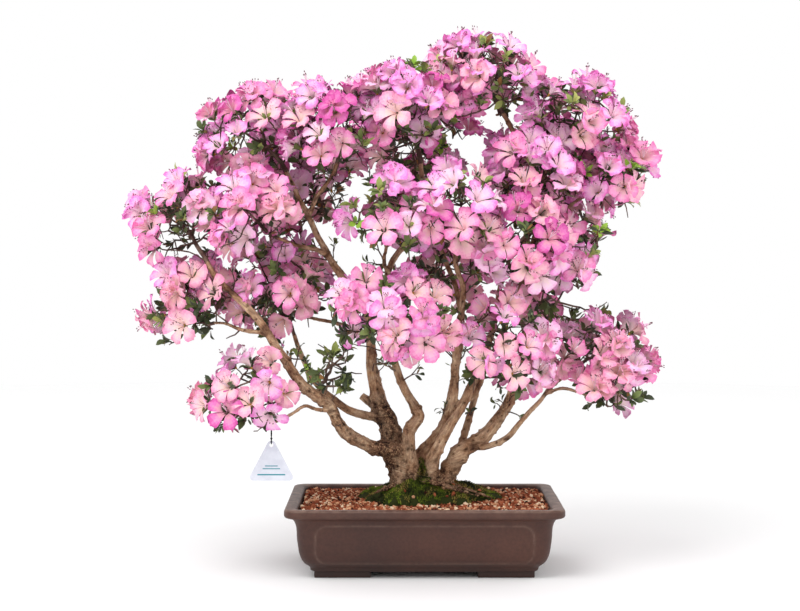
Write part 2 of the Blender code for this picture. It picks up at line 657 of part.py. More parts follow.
def make_tag(tag_material, tie_material):
    way = limb_way["branch_tagged"]
    place = TAG_HANGS_AT * (len(way) - 1)
    low = int(place)
    held = way[low].lerp(way[low + 1], place - low)
    branch = limb_thick["branch_tagged"][low]
    hole = held - Vector((0, 0, TAG_TOP_BELOW))
    top, foot = hole.z + 5, hole.z + 5 - TAG_HIGH
    half = TAG_HALF_WIDE
    outline = [(-4.5, top), (4.5, top), (half, foot + 5), (half - 3.5, foot), (-half + 3.5, foot), (-half, foot + 5)]
    points = [Vector((hole.x + x, hole.y + y, z)) for y in (-TAG_THICK / 2, TAG_THICK / 2) for x, z in outline]
    faces = [(k, (k + 1) % 6, 6 + (k + 1) % 6, 6 + k) for k in range(6)]
    faces += [tuple(range(5, -1, -1)), tuple(range(6, 12))]
    tag = solid("plant_tag", (points, faces), tag_material)
    bore = tube([hole - Vector((0, 3, 0)), hole + Vector((0, 3, 0))], [TAG_HOLE, TAG_HOLE], 10)
    fused(tag, [solid("cut", bore, tag_material)], "DIFFERENCE", "EXACT")
    # The tie is one closed loop, over the branch and through the hole.
    wide_top, wide_low = branch * 1.1 + TIE_THICK + 0.8, TAG_THICK / 2 + TIE_THICK + 0.7
    stations = []
    for k in range(5):
        turn = math.pi * k / 4
        stations.append(held + Vector((0, wide_top * math.cos(turn), wide_top * math.sin(turn))))
    for k in range(5):
        turn = math.pi * (1 + k / 4)
        stations.append(hole + Vector((0, wide_low * math.cos(turn), wide_low * math.sin(turn) * 0.6 + 0.2)))
    count, sides = len(stations), 4
    points = []
    for i in range(count):
        ahead = (stations[(i + 1) % count] - stations[i - 1]).normalized()
        across = Vector((1, 0, 0))
        out = ahead.cross(across)
        for k in range(sides):
            turn = 2 * math.pi * k / sides
            points.append(stations[i] + (across * math.cos(turn) + out * math.sin(turn)) * TIE_THICK)
    faces = [(i * sides + k, i * sides + (k + 1) % sides, (i + 1) % count * sides + (k + 1) % sides,
              (i + 1) % count * sides + k) for i in range(count) for k in range(sides)]
    solid("tag_tie", (points, faces), tie_material)


for thing in list(bpy.data.objects):
    bpy.data.objects.remove(thing, do_unlink=True)

limb_way = {}
limb_thick = {}
lay_out_limbs()
limb_filled = [Filled(limb_shape(name, 0.6)) for name in LIMBS]
filled = []
mass_middle = {name: placed(entry[2][0], entry[2][1], entry[3]) for name, entry in MASSES.items()}

materials = {
    "clay": surface("unglazed_clay", (0.075, 0.04, 0.032), 0.6),
    "soil": surface("soil_grains", (0.2, 0.075, 0.04), 0.95),
    "moss": surface("moss", (0.07, 0.11, 0.02), 0.95),
    "bark": surface("bark", (0.2, 0.13, 0.09), 0.85),
    "petal": surface("petals_and_leaves", (0.8, 0.25, 0.55), 0.6),
    "tag": surface("tag_board", (0.85, 0.87, 0.88), 0.5),
    "tie": surface("tie_cord", (0.03, 0.03, 0.03), 0.8),
}

make_pot(materials["clay"])
make_soil(materials["soil"])
make_moss(materials["moss"])

foot = solid("trunk_foot", rings_joined(foot_rings(0)), materials["bark"])
stubs = [solid("stub", stub_shape(name), materials["bark"]) for name, limb in LIMBS.items() if "off" not in limb]
fused(foot, stubs, "UNION", "EXACT")

for name, limb in LIMBS.items():
    made = solid(name, limb_shape(name), materials["bark"])
    if "off" in limb:
        cutter = solid("cut", limb_shape(limb["off"], CLEAR * 1.5), materials["bark"])
        fused(made, [cutter], "DIFFERENCE", "EXACT")

for name in MASSES:
    make_mass(name, materials)

make_tag(materials["tag"], materials["tie"])
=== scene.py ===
import math
import random

import bmesh
import bpy
import numpy as np
from mathutils import Matrix, Vector, kdtree, noise


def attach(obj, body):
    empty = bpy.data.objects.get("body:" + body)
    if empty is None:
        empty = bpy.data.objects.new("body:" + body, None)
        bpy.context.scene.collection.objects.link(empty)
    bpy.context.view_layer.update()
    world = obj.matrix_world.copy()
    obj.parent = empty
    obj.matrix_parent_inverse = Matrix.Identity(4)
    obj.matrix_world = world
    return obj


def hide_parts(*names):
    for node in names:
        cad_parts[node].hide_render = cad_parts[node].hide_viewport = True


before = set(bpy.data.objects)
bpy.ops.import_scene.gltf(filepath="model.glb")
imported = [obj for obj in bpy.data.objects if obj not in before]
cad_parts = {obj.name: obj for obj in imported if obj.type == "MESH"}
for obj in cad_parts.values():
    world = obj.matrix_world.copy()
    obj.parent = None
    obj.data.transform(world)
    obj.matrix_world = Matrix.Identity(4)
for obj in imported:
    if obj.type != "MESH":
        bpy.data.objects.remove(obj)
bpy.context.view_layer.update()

# Lengths below are millimetres from the pot's middle at floor level; +Y is away from the front.
metre = 0.001
potMiddle = Vector((31, -14, 0))    # where that middle is in the frame
eye = Vector((-31, -2425, 440))     # the front view's eye point
golden = 2.39996                    # turn between one try and the next, radians
noise.seed_set(3)                   # the same wander in every run
multiplied = {"data_type": "RGBA", "blend_type": "MULTIPLY"}    # settings of a Mix node


def toLinear(hexColour):
    shares = [int(hexColour[i:i + 2], 16) / 255 for i in (0, 2, 4)]
    return [s / 12.92 if s <= 0.04045 else ((s + 0.055) / 1.055) ** 2.4 for s in shares] + [1.0]


def addNode(tree, kind, settings=None, values=None, links=None, stops=()):
    # The stops are a ramp's places and colours.
    node = tree.nodes.new("ShaderNode" + kind)
    for name, value in (settings or {}).items():
        setattr(node, name, value)
    for name, value in (values or {}).items():
        node.inputs[name].default_value = value
    for name, source in (links or {}).items():
        tree.links.new(source, node.inputs[name])
    for k in range(len(stops) - 2):
        node.color_ramp.elements.new(0.5)
    for k, (place, colour) in enumerate(stops):
        node.color_ramp.elements[k].position = place
        node.color_ramp.elements[k].color = toLinear(colour)
    return node


def newMaterial(name, values):
    made = bpy.data.materials.new(name)
    made.use_nodes = True
    shader = made.node_tree.nodes["Principled BSDF"]
    for socket, value in values.items():
        shader.inputs[socket].default_value = value
    return made, made.node_tree, shader


def reliefMaterial(name, values, scale, detail, strength, depth):
    # One plain colour over a fine relief, whose depth is in metres.
    made, tree, shader = newMaterial(name, values)
    place = addNode(tree, "TexCoord").outputs["Object"]
    height = addNode(tree, "TexNoise", values={"Scale": scale, "Detail": detail}, links={"Vector": place})
    bump = addNode(tree, "Bump", values={"Strength": strength, "Distance": depth},
                   links={"Height": height.outputs["Fac"]})
    tree.links.new(bump.outputs["Normal"], shader.inputs["Normal"])
    return made


def mottledMaterial(name, values, scale, detail, stops):
    # A colour that drifts between a few near ones.
    made, tree, shader = newMaterial(name, values)
    place = addNode(tree, "TexCoord").outputs["Object"]
    cloud = addNode(tree, "TexNoise", values={"Scale": scale, "Detail": detail}, links={"Vector": place})
    tone = addNode(tree, "ValToRGB", links={"Fac": cloud.outputs["Fac"]}, stops=stops)
    tree.links.new(tone.outputs["Color"], shader.inputs["Base Color"])
    return made


def toPiece(name, mesh, materials, nodes):
    piece = bpy.data.objects.new(name, mesh)
    bpy.context.scene.collection.objects.link(piece)
    for material in materials:
        mesh.materials.append(material)
    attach(piece, "root")
    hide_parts(*nodes)
    return piece


def bmToMesh(name, bm, smooth=True):
    # Millimetres about the pot's middle become metres in the frame.
    bmesh.ops.transform(bm, matrix=Matrix.Scale(metre, 4) @ Matrix.Translation(potMiddle), verts=bm.verts)
    mesh = bpy.data.meshes.new(name)
    bm.to_mesh(mesh)
    bm.free()
    mesh.polygons.foreach_set("use_smooth", [smooth] * len(mesh.polygons))
    return mesh


def evaluated(holder):
    # The mesh that an object's modifiers or curve settings give, with the object itself removed.
    bpy.context.scene.collection.objects.link(holder)
    bpy.context.view_layer.update()
    mesh = bpy.data.meshes.new_from_object(holder.evaluated_get(bpy.context.evaluated_depsgraph_get()))
    bpy.data.objects.remove(holder, do_unlink=True)
    return mesh


def tubesMesh(name, ways, roundness):
    # Tapering round tubes, one for each way of points and radii.
    curve = bpy.data.curves.new(name, "CURVE")
    curve.dimensions = "3D"
    curve.bevel_depth = 1.0
    curve.bevel_resolution = roundness
    curve.use_fill_caps = True
    for points, radii in ways:
        spline = curve.splines.new("POLY")
        spline.points.add(len(points) - 1)
        places = [c for p in points for c in (*((p + potMiddle) * metre), 1)]
        spline.points.foreach_set("co", places)
        spline.points.foreach_set("radius", [r * metre for r in radii])
    mesh = evaluated(bpy.data.objects.new(name, curve))
    bpy.data.curves.remove(curve)
    return mesh


def shapeOf(bm):
    # A small shape as arrays, ready to be copied many times.
    bm.verts.index_update()
    shape = {
        "points": np.array([v.co[:] for v in bm.verts]),
        "corners": np.array([v.index for f in bm.faces for v in f.verts]),
        "sizes": np.array([len(f.verts) for f in bm.faces]),
        "slots": np.array([f.material_index for f in bm.faces]),
    }
    bm.free()
    return shape


def joinedCopies(name, batches, smooth=True):
    # One mesh of many placed copies; each batch is a shape, its matrices and its first slots.
    points, corners, sizes, slots = [], [], [], []
    used = 0
    for shape, matrices, firstSlots in batches:
        if not len(matrices):
            continue
        grid = np.array([[list(row) for row in m] for m in matrices])
        count = len(grid)
        turned = np.einsum("nij,vj->nvi", grid[:, :3, :3], shape["points"]) + grid[:, None, :3, 3]
        points.append(turned.reshape(-1, 3))
        step = len(shape["points"])
        corners.append((shape["corners"][None, :] + np.arange(count)[:, None] * step + used).ravel())
        sizes.append(np.tile(shape["sizes"], count))
        slots.append((shape["slots"][None, :] + np.array(firstSlots)[:, None]).ravel())
        used += count * step
    points = (np.concatenate(points) + np.array(potMiddle)) * metre
    corners, sizes, slots = np.concatenate(corners), np.concatenate(sizes), np.concatenate(slots)
    mesh = bpy.data.meshes.new(name)
    mesh.vertices.add(len(points))
    mesh.vertices.foreach_set("co", points.ravel().astype(np.float32))
    mesh.loops.add(len(corners))
    mesh.loops.foreach_set("vertex_index", corners.astype(np.int32))
    mesh.polygons.add(len(sizes))
    mesh.polygons.foreach_set("loop_start", np.concatenate([[0], np.cumsum(sizes)[:-1]]).astype(np.int32))
    mesh.update(calc_edges=True)
    mesh.polygons.foreach_set("material_index", slots.astype(np.int32))
    mesh.polygons.foreach_set("use_smooth", np.full(len(sizes), smooth))
    return mesh


def addShape(whole, piece):
    scrap = bpy.data.meshes.new("scrap")
    piece.to_mesh(scrap)
    piece.free()
    whole.from_mesh(scrap)
    bpy.data.meshes.remove(scrap)


def only(kind, made):
    # The vertices, edges or faces among what an operator made.
    return [g for g in made["geom"] if isinstance(g, getattr(bmesh.types, "BM" + kind))]


def triangles(mesh):
    return sum(len(f.vertices) - 2 for f in mesh.polygons)


def smoothstep(low, high, value):
    t = min(1.0, max(0.0, (value - low) / (high - low)))
    return t * t * (3 - 2 * t)


def shake(rng, size):
    return Vector([rng.uniform(-size, size) for i in range(3)])


def sideways(axis, turn):
    # A direction square to an axis, turned about it.
    side = axis.orthogonal().normalized()
    side.rotate(Matrix.Rotation(turn, 3, axis))
    return side


def placed(x, z, y):
    # A point seen from the eye at x and z on the pot's middle plane, moved to depth y.
    away = 1 + y / -eye.y
    return Vector((eye.x + (x - eye.x) * away, y, eye.z + (z - eye.z) * away))


def seenAt(p):
    # The other way round: where on the pot's middle plane a point is seen.
    away = 1 + p.y / -eye.y
    return eye.x + (p.x - eye.x) / away, eye.z + (p.z - eye.z) / away


def smoothWay(way, spacing):
    points = [way[0] * 2 - way[1]] + list(way) + [way[-1] * 2 - way[-2]]
    made = [way[0]]
    for i in range(1, len(points) - 2):
        p0, p1, p2, p3 = points[i - 1:i + 3]
        steps = max(1, round((p2 - p1).length / spacing))
        for k in range(1, steps + 1):
            t = k / steps
            made.append(0.5 * (2 * p1 + (p2 - p0) * t + (2 * p0 - 5 * p1 + 4 * p2 - p3) * t * t
                               + (3 * p1 - 3 * p2 + p3 - p0) * t ** 3))
    return made


def turnedTo(direction, spin):
    # A turn that takes +Z to a direction, after a spin about +Z.
    return direction.to_track_quat("Z", "Y").to_matrix().to_4x4() @ Matrix.Rotation(spin, 4, "Z")


# ---- camera, light and floor ----
view = dict(lens=82.8, sensor=36, shiftY=-0.0931, floorRadius=3.0, floorColour="f8f8f8",
            worldStrength=1.0, keyPower=32, keySize=1.7, fillPower=5)

camera = bpy.data.objects.new("camera", bpy.data.cameras.new("camera"))
camera.data.lens = view["lens"]
camera.data.sensor_width = view["sensor"]
camera.data.shift_y = view["shiftY"]
camera.location = (eye + potMiddle) * metre
camera.rotation_euler = (math.pi / 2, 0, 0)
bpy.context.scene.collection.objects.link(camera)
bpy.context.scene.camera = camera
bpy.context.scene.view_settings.view_transform = "Standard"

world = bpy.data.worlds.new("studio")
world.use_nodes = True
bpy.context.scene.world = world
backdrop = world.node_tree.nodes["Background"]
backdrop.inputs["Color"].default_value = (1, 1, 1, 1)
backdrop.inputs["Strength"].default_value = view["worldStrength"]


def softLight(name, place, power, size):
    lamp = bpy.data.lights.new(name, "AREA")
    lamp.shape = "DISK"
    lamp.size = size
    lamp.energy = power
    holder = bpy.data.objects.new(name, lamp)
    holder.location = place
    holder.rotation_euler = (Vector((0, 0, 0.36)) - Vector(place)).to_track_quat("-Z", "Y").to_euler()
    bpy.context.scene.collection.objects.link(holder)


softLight("keyLight", (-0.9, -1.5, 2.3), view["keyPower"], view["keySize"])
softLight("fillLight", (1.6, -1.6, 1.2), view["fillPower"], view["keySize"])

# Matt pale board.
boardValues = {"Base Color": toLinear(view["floorColour"]), "Roughness": 0.9}
bm = bmesh.new()
bmesh.ops.create_circle(bm, cap_ends=True, segments=96, radius=view["floorRadius"])
floorMesh = bpy.data.meshes.new("floor")
bm.to_mesh(floorMesh)
bm.free()
floorMesh.materials.append(newMaterial("matt pale studio board", boardValues)[0])
floorPiece = bpy.data.objects.new("floor", floorMesh)
floorPiece.location.z = -0.0002
bpy.context.scene.collection.objects.link(floorPiece)
print("stage: camera, light and floor")

# ---- pot: stoneware with no glaze, pressed in a mould, matt, a little worn on its lip, with painted highlights on its beads and a painted reflection on its rim ----
pot = dict(narrower=50, corner=13, foot=(140, 90), footLong=72, footReturn=44, footWide=20, footHigh=8.6,
           # height, and half length at that height
           outside=[(8, 143.4), (9.2, 145), (12.4, 145.5), (14, 146.6), (20, 153.4), (27, 157), (36, 159.4),
                    (50, 161.2), (62, 162), (69, 163.2), (74.5, 165.6), (77.6, 169), (78.6, 173), (79.8, 175.8),
                    (81.6, 177), (87.6, 177), (89.2, 176.4), (90, 174.8)],
           inside=[(90, 166), (89.2, 163.4), (87.4, 161.8), (80, 160.2), (70, 158)],
           panelFrom=9, lipFrom=77, panelMiddle=44.5, panelHigh=23.2, panelLong=136.5, panelCorner=14,
           panelDeep=1.0, bead=1.0, beadWide=1.3, beadHighlight=0.32, lipWear=0.1, rimReflection=0.65)


def smoothProfile(points, spacing):
    way = [Vector((0, half, height)) for height, half in points]
    return [(p.z, p.y) for p in smoothWay(way, spacing)]


def panelShare(along, height, halfLong):
    # 1 inside the sunk panel, 0 outside, with a soft step between.
    c = pot["panelCorner"]
    dx = abs(along) - halfLong + c
    dz = abs(height - pot["panelMiddle"]) - pot["panelHigh"] + c
    outside = math.hypot(max(dx, 0), max(dz, 0)) + min(max(dx, dz), 0) - c
    return 1 - smoothstep(-1.8, 0.4, outside), math.exp(-((outside - 1.2) / pot["beadWide"]) ** 2)


def makePot():
    bm = bmesh.new()
    bmesh.ops.create_grid(bm, x_segments=1, y_segments=1, size=1)
    rings = smoothProfile(pot["outside"], 1.5) + smoothProfile(pot["inside"], 2.5)
    height, half = rings[0]
    base = Matrix.Translation((0, 0, height)) @ Matrix.Diagonal((half, half - pot["narrower"], 1, 1))
    bmesh.ops.transform(bm, matrix=base, verts=bm.verts)
    bmesh.ops.bevel(bm, geom=list(bm.verts), offset=pot["corner"], segments=9, profile=0.5, affect="VERTICES",
                    material=-1)
    sides = [e for e in bm.edges if e.calc_length() > 20]
    for edge in sides:
        bmesh.ops.subdivide_edges(bm, edges=[edge], cuts=round(edge.calc_length() / 1.7))
    bm.faces.ensure_lookup_table()
    top = bm.faces[0]
    if top.normal.z < 0:
        top.normal_flip()
    bottom = bmesh.ops.duplicate(bm, geom=[top])
    bmesh.ops.reverse_faces(bm, faces=only("Face", bottom))
    for height, newHalf in rings[1:]:
        made = bmesh.ops.extrude_face_region(bm, geom=[top])
        bmesh.ops.delete(bm, geom=[top], context="FACES_ONLY")
        top = only("Face", made)[0]
        scale = (newHalf / half, (newHalf - pot["narrower"]) / (half - pot["narrower"]), 1, 1)
        bmesh.ops.transform(bm, matrix=Matrix.Diagonal(scale), verts=top.verts)
        for vert in top.verts:
            vert.co.z = height
        half = newHalf
    bmesh.ops.remove_doubles(bm, verts=bm.verts, dist=0.01)
    # A paler share: a painted highlight along the panel's bead, a little real wear over the lip, and a painted
    # reflection on the rim's flat top.
    wearAndSheen = bm.verts.layers.float.new("wearAndSheen")
    for vert in bm.verts:
        x, y, z = vert.co
        if pot["panelFrom"] < z < pot["lipFrom"] and (abs(x) > 142 or abs(y) > 92):
            wide = abs(y) > abs(x) - pot["narrower"]
            halfLong = pot["panelLong"] if wide else pot["panelLong"] - pot["narrower"] - 2
            share, bead = panelShare(x if wide else y, z, halfLong)
            move = pot["bead"] * bead - pot["panelDeep"] * share
            vert[wearAndSheen] = pot["beadHighlight"] * bead
            if wide:
                vert.co.y += math.copysign(move, y)
            else:
                vert.co.x += math.copysign(move, x)
        elif z >= pot["lipFrom"]:
            vert[wearAndSheen] = pot["lipWear"] + pot["rimReflection"] * smoothstep(87, 89.5, z)
    for right in (1, -1):
        for front in (1, -1):
            addFoot(bm, right, front)
    for vert in bm.verts:
        # A wall pressed by hand is never quite flat.
        wander = noise.noise(vert.co * 0.02) * 0.35 + noise.noise(vert.co * 0.11) * 0.1
        if vert.co.z > pot["panelFrom"]:
            vert.co += vert.co.normalized() * wander
    return bmToMesh("stonewarePot", bm)


def addFoot(bm, right, front):
    # A bracket foot round one corner of the base.
    long, deep = pot["foot"]
    inLong, inDeep = long - pot["footWide"], deep - pot["footWide"]
    farLong, farDeep = long - pot["footLong"], deep - pot["footReturn"]
    corners = [(long, deep), (farLong, deep), (farLong, inDeep), (inLong, inDeep), (inLong, farDeep), (long, farDeep)]
    foot = bmesh.new()
    face = foot.faces.new([foot.verts.new((x * right, y * front, 0)) for x, y in corners])
    made = bmesh.ops.extrude_face_region(foot, geom=[face])
    bmesh.ops.translate(foot, vec=(0, 0, pot["footHigh"]), verts=only("Vert", made))
    bmesh.ops.recalc_face_normals(foot, faces=foot.faces)
    bmesh.ops.bevel(foot, geom=list(foot.edges), offset=1.1, segments=3, profile=0.5, affect="EDGES", material=-1)
    addShape(bm, foot)


def clayMaterial():
    # Pressed stoneware with no glaze: dark red-brown, dull, a little paler where the lip is rubbed, with a painted
    # highlight on the beads, a painted reflection on the rim's flat top and painted shade towards the feet.
    made, tree, shader = newMaterial("unglazed stoneware", {"Roughness": 0.5, "Specular IOR Level": 0.4})
    place = addNode(tree, "TexCoord").outputs["Object"]
    wearAndSheen = addNode(tree, "Attribute", {"attribute_name": "wearAndSheen"}).outputs["Fac"]
    cloud = addNode(tree, "TexNoise", values={"Scale": 9, "Detail": 3, "Roughness": 0.5}, links={"Vector": place})
    speck = addNode(tree, "TexNoise", values={"Scale": 260, "Detail": 3, "Roughness": 0.6}, links={"Vector": place})
    body = addNode(tree, "ValToRGB", links={"Fac": cloud.outputs["Fac"]},
                   stops=[(0.3, "38201a"), (0.52, "45271e"), (0.75, "523024")])
    fine = addNode(tree, "ValToRGB", links={"Fac": speck.outputs["Fac"]}, stops=[(0.3, "c8c0bc"), (0.62, "ffffff")])
    mix = addNode(tree, "Mix", multiplied, {0: 0.6}, {6: body.outputs["Color"], 7: fine.outputs["Color"]})
    # Paler clay where that share is high, broken up by noise: real wear on the lip, painted highlight on the beads,
    # painted reflection on the rim's top.
    wearAndSheenNoise = addNode(tree, "TexNoise", values={"Scale": 55, "Detail": 5, "Roughness": 0.7}, links={"Vector": place})
    patchyWearAndSheen = addNode(tree, "MapRange", values={1: 0.38, 2: 0.62, 3: 0.25, 4: 1.0}, links={0: wearAndSheenNoise.outputs["Fac"]})
    share = addNode(tree, "Math", {"operation": "MULTIPLY"}, links={0: patchyWearAndSheen.outputs[0], 1: wearAndSheen})
    whole = addNode(tree, "Mix", {"data_type": "RGBA"}, {7: toLinear("8b7062")},
                    {0: share.outputs[0], 6: mix.outputs[2]})
    level = addNode(tree, "SeparateXYZ", links={"Vector": place})
    footShade = addNode(tree, "MapRange", values={1: 0.006, 2: 0.026, 3: 0.62, 4: 0.0}, links={0: level.outputs["Z"]})
    shadedTowardsFeet = addNode(tree, "Mix", multiplied, {7: toLinear("8a705c")},
                      {0: footShade.outputs[0], 6: whole.outputs[2]})    # painted shade, darker towards the feet
    tree.links.new(shadedTowardsFeet.outputs[2], shader.inputs["Base Color"])
    bump = addNode(tree, "Bump", values={"Strength": 0.2, "Distance": 0.0004}, links={"Height": speck.outputs["Fac"]})
    tree.links.new(bump.outputs["Normal"], shader.inputs["Normal"])
    return made


toPiece("stonewarePot", makePot(), [clayMaterial()], ["pot"])
print("stage: pot")

# ---- limbs: the same ways as the solids, with closer stations and a little wander ----
limbs = {
    "stem_front_left": dict(thick=(10.5, 3.6), way=[
        (-43, 152, -25), (-69, 156, -40), (-102, 174, -55), (-127, 211, -66), (-160, 238, -74),
        (-191, 284, -80), (-226, 333, -80), (-268, 372, -66), (-286, 400, -55)]),
    "stem_rough_left": dict(thick=(14.5, 3.4), waist=((0.12, 13.4), (0.19, 7.8)), way=[
        (-41, 160, 4), (-45, 183, 4), (-58, 208, 4), (-69, 265, 8), (-72, 332, 14), (-95, 360, 14),
        (-133, 420, 4), (-156, 468, -6), (-182, 520, -10)]),
    "stem_elbowed": dict(thick=(9.6, 3.6), waist=((0.1, 8.2), (0.16, 6)), way=[
        (-20, 160, -22), (-19, 176, -25), (-12, 187, -26), (-5, 196, -26), (-12, 208, -24),
        (-24, 229, -20), (-43, 284, -12), (-54, 345, 0), (-43, 394, 6), (-15, 437, 2), (0, 480, -8),
        (-4, 530, -22)]),
    "stem_middle": dict(thick=(8.2, 3.4), way=[
        (4, 155, 0), (25, 179, -6), (33, 195, -8), (39, 222, -20), (43, 281, -44), (50, 333, -58), (52, 362, -64),
        (43, 396, -74), (43, 418, -82)]),
    "stem_right_middle": dict(thick=(8, 3.2), way=[
        (18, 153, -26), (33, 181, -28), (54, 216, -24), (73, 259, -16), (87, 296, -12), (97, 336, -18),
        (101, 365, -34), (108, 388, -48)]),
    "stem_right": dict(thick=(11, 3.4), waist=((0.05, 10), (0.14, 7.8)), way=[
        (54, 153, -8), (77, 168, -6), (104, 199, 0), (126, 251, 8), (134, 312, 12), (130, 345, 14),
        (133, 415, 16), (143, 480, 12), (139, 525, 6), (116, 575, 2), (104, 596, 0)]),
    "stem_back_right": dict(thick=(5.4, 3.2), way=[
        (47, 152, 24), (54, 172, 30), (58, 189, 38), (70, 228, 62), (94, 285, 96), (122, 350, 122), (140, 410, 130),
        (148, 444, 130)]),
    "stem_back_left": dict(thick=(8.5, 3.2), way=[
        (-32, 152, 34), (-46, 192, 66), (-66, 262, 104), (-75, 330, 128), (-112, 390, 138),
        (-152, 424, 140)]),
    "stem_back_middle": dict(thick=(6.4, 3.2), way=[
        (6, 154, 36), (28, 192, 66), (43, 262, 106), (50, 330, 128), (30, 400, 138), (-6, 474, 138)]),
    "stem_far_right": dict(off="stem_right", thick=(5, 2.8), way=[
        (60, 160, -8), (80, 155, -20), (108, 167, -32), (127, 187, -40), (150, 212, -44),
        (168, 234, -42), (186, 250, -36)]),
    "cut_snag": dict(off="stem_rough_left", thick=(5.8, 5.2), way=[
        (-54, 203, 6), (-69, 213, 9), (-82, 223, 11)]),
    "bough_left_inner": dict(off="stem_rough_left", thick=(7, 3.2), way=[
        (-46, 190, 4), (-70, 196, -8), (-97, 204, -18), (-134, 231, -34), (-157, 268, -30),
        (-171, 305, -20)]),
    "branch_tagged": dict(off="stem_front_left", thick=(3.4, 2.2), way=[
        (-117, 204, -64), (-140, 204, -82), (-157, 210, -92), (-171, 201, -98), (-190, 190, -103),
        (-208, 186, -104)]),
    "bough_left_low": dict(off="stem_front_left", thick=(3.6, 2.4), way=[
        (-205, 305, -80), (-236, 310, -66), (-262, 318, -48), (-278, 319, -40)]),
    "bough_left_shoulder": dict(off="stem_rough_left", thick=(4, 2.6), way=[
        (-128, 411, 5), (-152, 418, -20), (-176, 424, -42), (-194, 432, -52)]),
    "bough_upper_middle": dict(off="stem_rough_left", thick=(3.8, 2.6), way=[
        (-152, 460, -4), (-138, 488, -22), (-122, 510, -36), (-114, 530, -42)]),
    "bough_front_low": dict(off="stem_elbowed", thick=(3.8, 2.6), way=[
        (-40, 278, -13), (-36, 289, -44), (-38, 296, -76), (-42, 305, -96)]),
    "bough_front_left": dict(off="stem_elbowed", thick=(3.6, 2.6), way=[
        (-46, 384, 6), (-52, 400, -26), (-50, 415, -52), (-47, 426, -66)]),
    "bough_front_right": dict(off="stem_right", thick=(4, 2.6), way=[
        (101, 192, -2), (108, 208, -28), (112, 225, -50), (114, 240, -60)]),
    "bough_right_middle": dict(off="stem_right", thick=(4, 2.6), way=[
        (131, 370, 15), (152, 385, 4), (170, 394, -8), (186, 398, -14)]),
    "bough_right_shoulder": dict(off="stem_right", thick=(4.2, 2.6), way=[
        (133, 412, 16), (160, 440, 24), (190, 470, 24), (212, 486, 22)]),
    "bough_upper_right": dict(off="stem_right", thick=(4, 2.6), way=[
        (142, 474, 12), (158, 510, 8), (172, 535, 4), (182, 552, 2)]),
    "bough_right_skirt": dict(off="stem_far_right", thick=(2.9, 2.2), way=[
        (160, 225, -43), (182, 233, -52), (203, 228, -54), (220, 221, -52)]),
    "bough_back_left_low": dict(off="stem_back_left", thick=(3.8, 2.6), way=[
        (-70, 300, 117), (-104, 316, 126), (-138, 324, 130), (-160, 328, 131)]),
    "bough_back_low": dict(off="stem_back_middle", thick=(3.8, 2.6), way=[
        (46, 292, 116), (40, 308, 134), (29, 324, 150), (19, 340, 156)]),
    "bough_back_right_low": dict(off="stem_back_right", thick=(3.8, 2.6), way=[
        (94, 280, 94), (118, 296, 108), (142, 308, 114), (156, 318, 116)]),
}
wood = dict(spacing=7, wander=1.6, voxel=0.00185, smoothings=3, roots=7, knots=110, sunkTo=102,
            # the foot's sections: height, half length, half depth
            foot=[(86.4, 64, 42), (91, 55, 36), (99, 47, 31), (109, 40, 27), (117, 31, 21)],
            # burls: x, z and depth of the middle, radius
            burls=[(50, 141, -12, 9), (-42, 141, -20, 10), (-33, 120, -14, 9), (16, 119, -18, 7),
                   (30, 111, -17, 9), (-12, 122, -16, 8), (-30, 137, -13, 9), (-52, 196, -4, 8),
                   (-35, 176, -5, 7), (31, 130, -6, 10), (37, 134, 2, 10), (-12, 134, -4, 11)],
            # surface roots that creep out over the moss
            creeping=[[(-4, 113, -26), (12, 109, -38), (34, 102, -44), (56, 95, -44), (70, 91, -40)],
                      [(12, 112, -24), (30, 105, -34), (52, 97, -36), (74, 91, -32)],
                      [(-30, 108, -24), (-48, 102, -32), (-66, 94, -36), (-78, 89, -36)],
                      [(34, 108, -12), (56, 100, -20), (76, 93, -24), (92, 88, -22)]],
            creepingThick=(3.2, 2.0))
# Bark relief: widths of its features, and how far each stands out on young and on old wood.
relief = dict(streakWide=2.6, streakLong=17, plateWide=5.5, plateLong=9, lumpWide=21, flakeWide=4.2,
              wartWide=6.5, patchWide=13, youngLump=0.8, youngStreak=0.5, youngPlate=0.35,
              oldFlake=1.9, oldPlate=1.7, oldLump=1.8)
limbWay = {}
limbThick = {}


def thickness(limb, share):
    foot, tip = limb["thick"]
    marks = [(0, foot), *limb.get("waist", ()), (1, tip)]
    for (start, first), (end, second) in zip(marks, marks[1:]):
        if share <= end:
            return first + (second - first) * ((share - start) / (end - start)) ** 0.8


def layOutLimbs():
    for name, limb in limbs.items():
        way = smoothWay([placed(*point) for point in limb["way"]], wood["spacing"])
        travelled = [0.0]
        for a, b in zip(way, way[1:]):
            travelled.append(travelled[-1] + (b - a).length)
        shift = Vector((sum(map(ord, name)) % 97, 0, 0))
        for i, t in enumerate(travelled):
            fade = min(1, t / 30, (travelled[-1] - t) / 25)
            way[i] += noise.noise_vector(way[i] / 26 + shift) * wood["wander"] * fade
        limbWay[name] = way
        limbThick[name] = [thickness(limb, t / travelled[-1]) for t in travelled]


def footRing(height, wide, deep, sides=84):
    low, high = wood["foot"][0][0], wood["foot"][-1][0]
    up = (height - low) / (high - low)
    ring = []
    for k in range(sides):
        turn = 2 * math.pi * k / sides
        ridge = (1 + 0.15 * (1 - up) ** 1.4 * math.cos(wood["roots"] * turn + 0.9 + 0.5 * math.sin(2 * turn))
                 + 0.03 * math.sin(3 * turn + 4 * up))
        x = -5.5 + 2.5 * up + wide * ridge * math.cos(turn)    # the clump leans a little as it rises
        ring.append(Vector((x, deep * ridge * math.sin(turn), height)))
    return ring


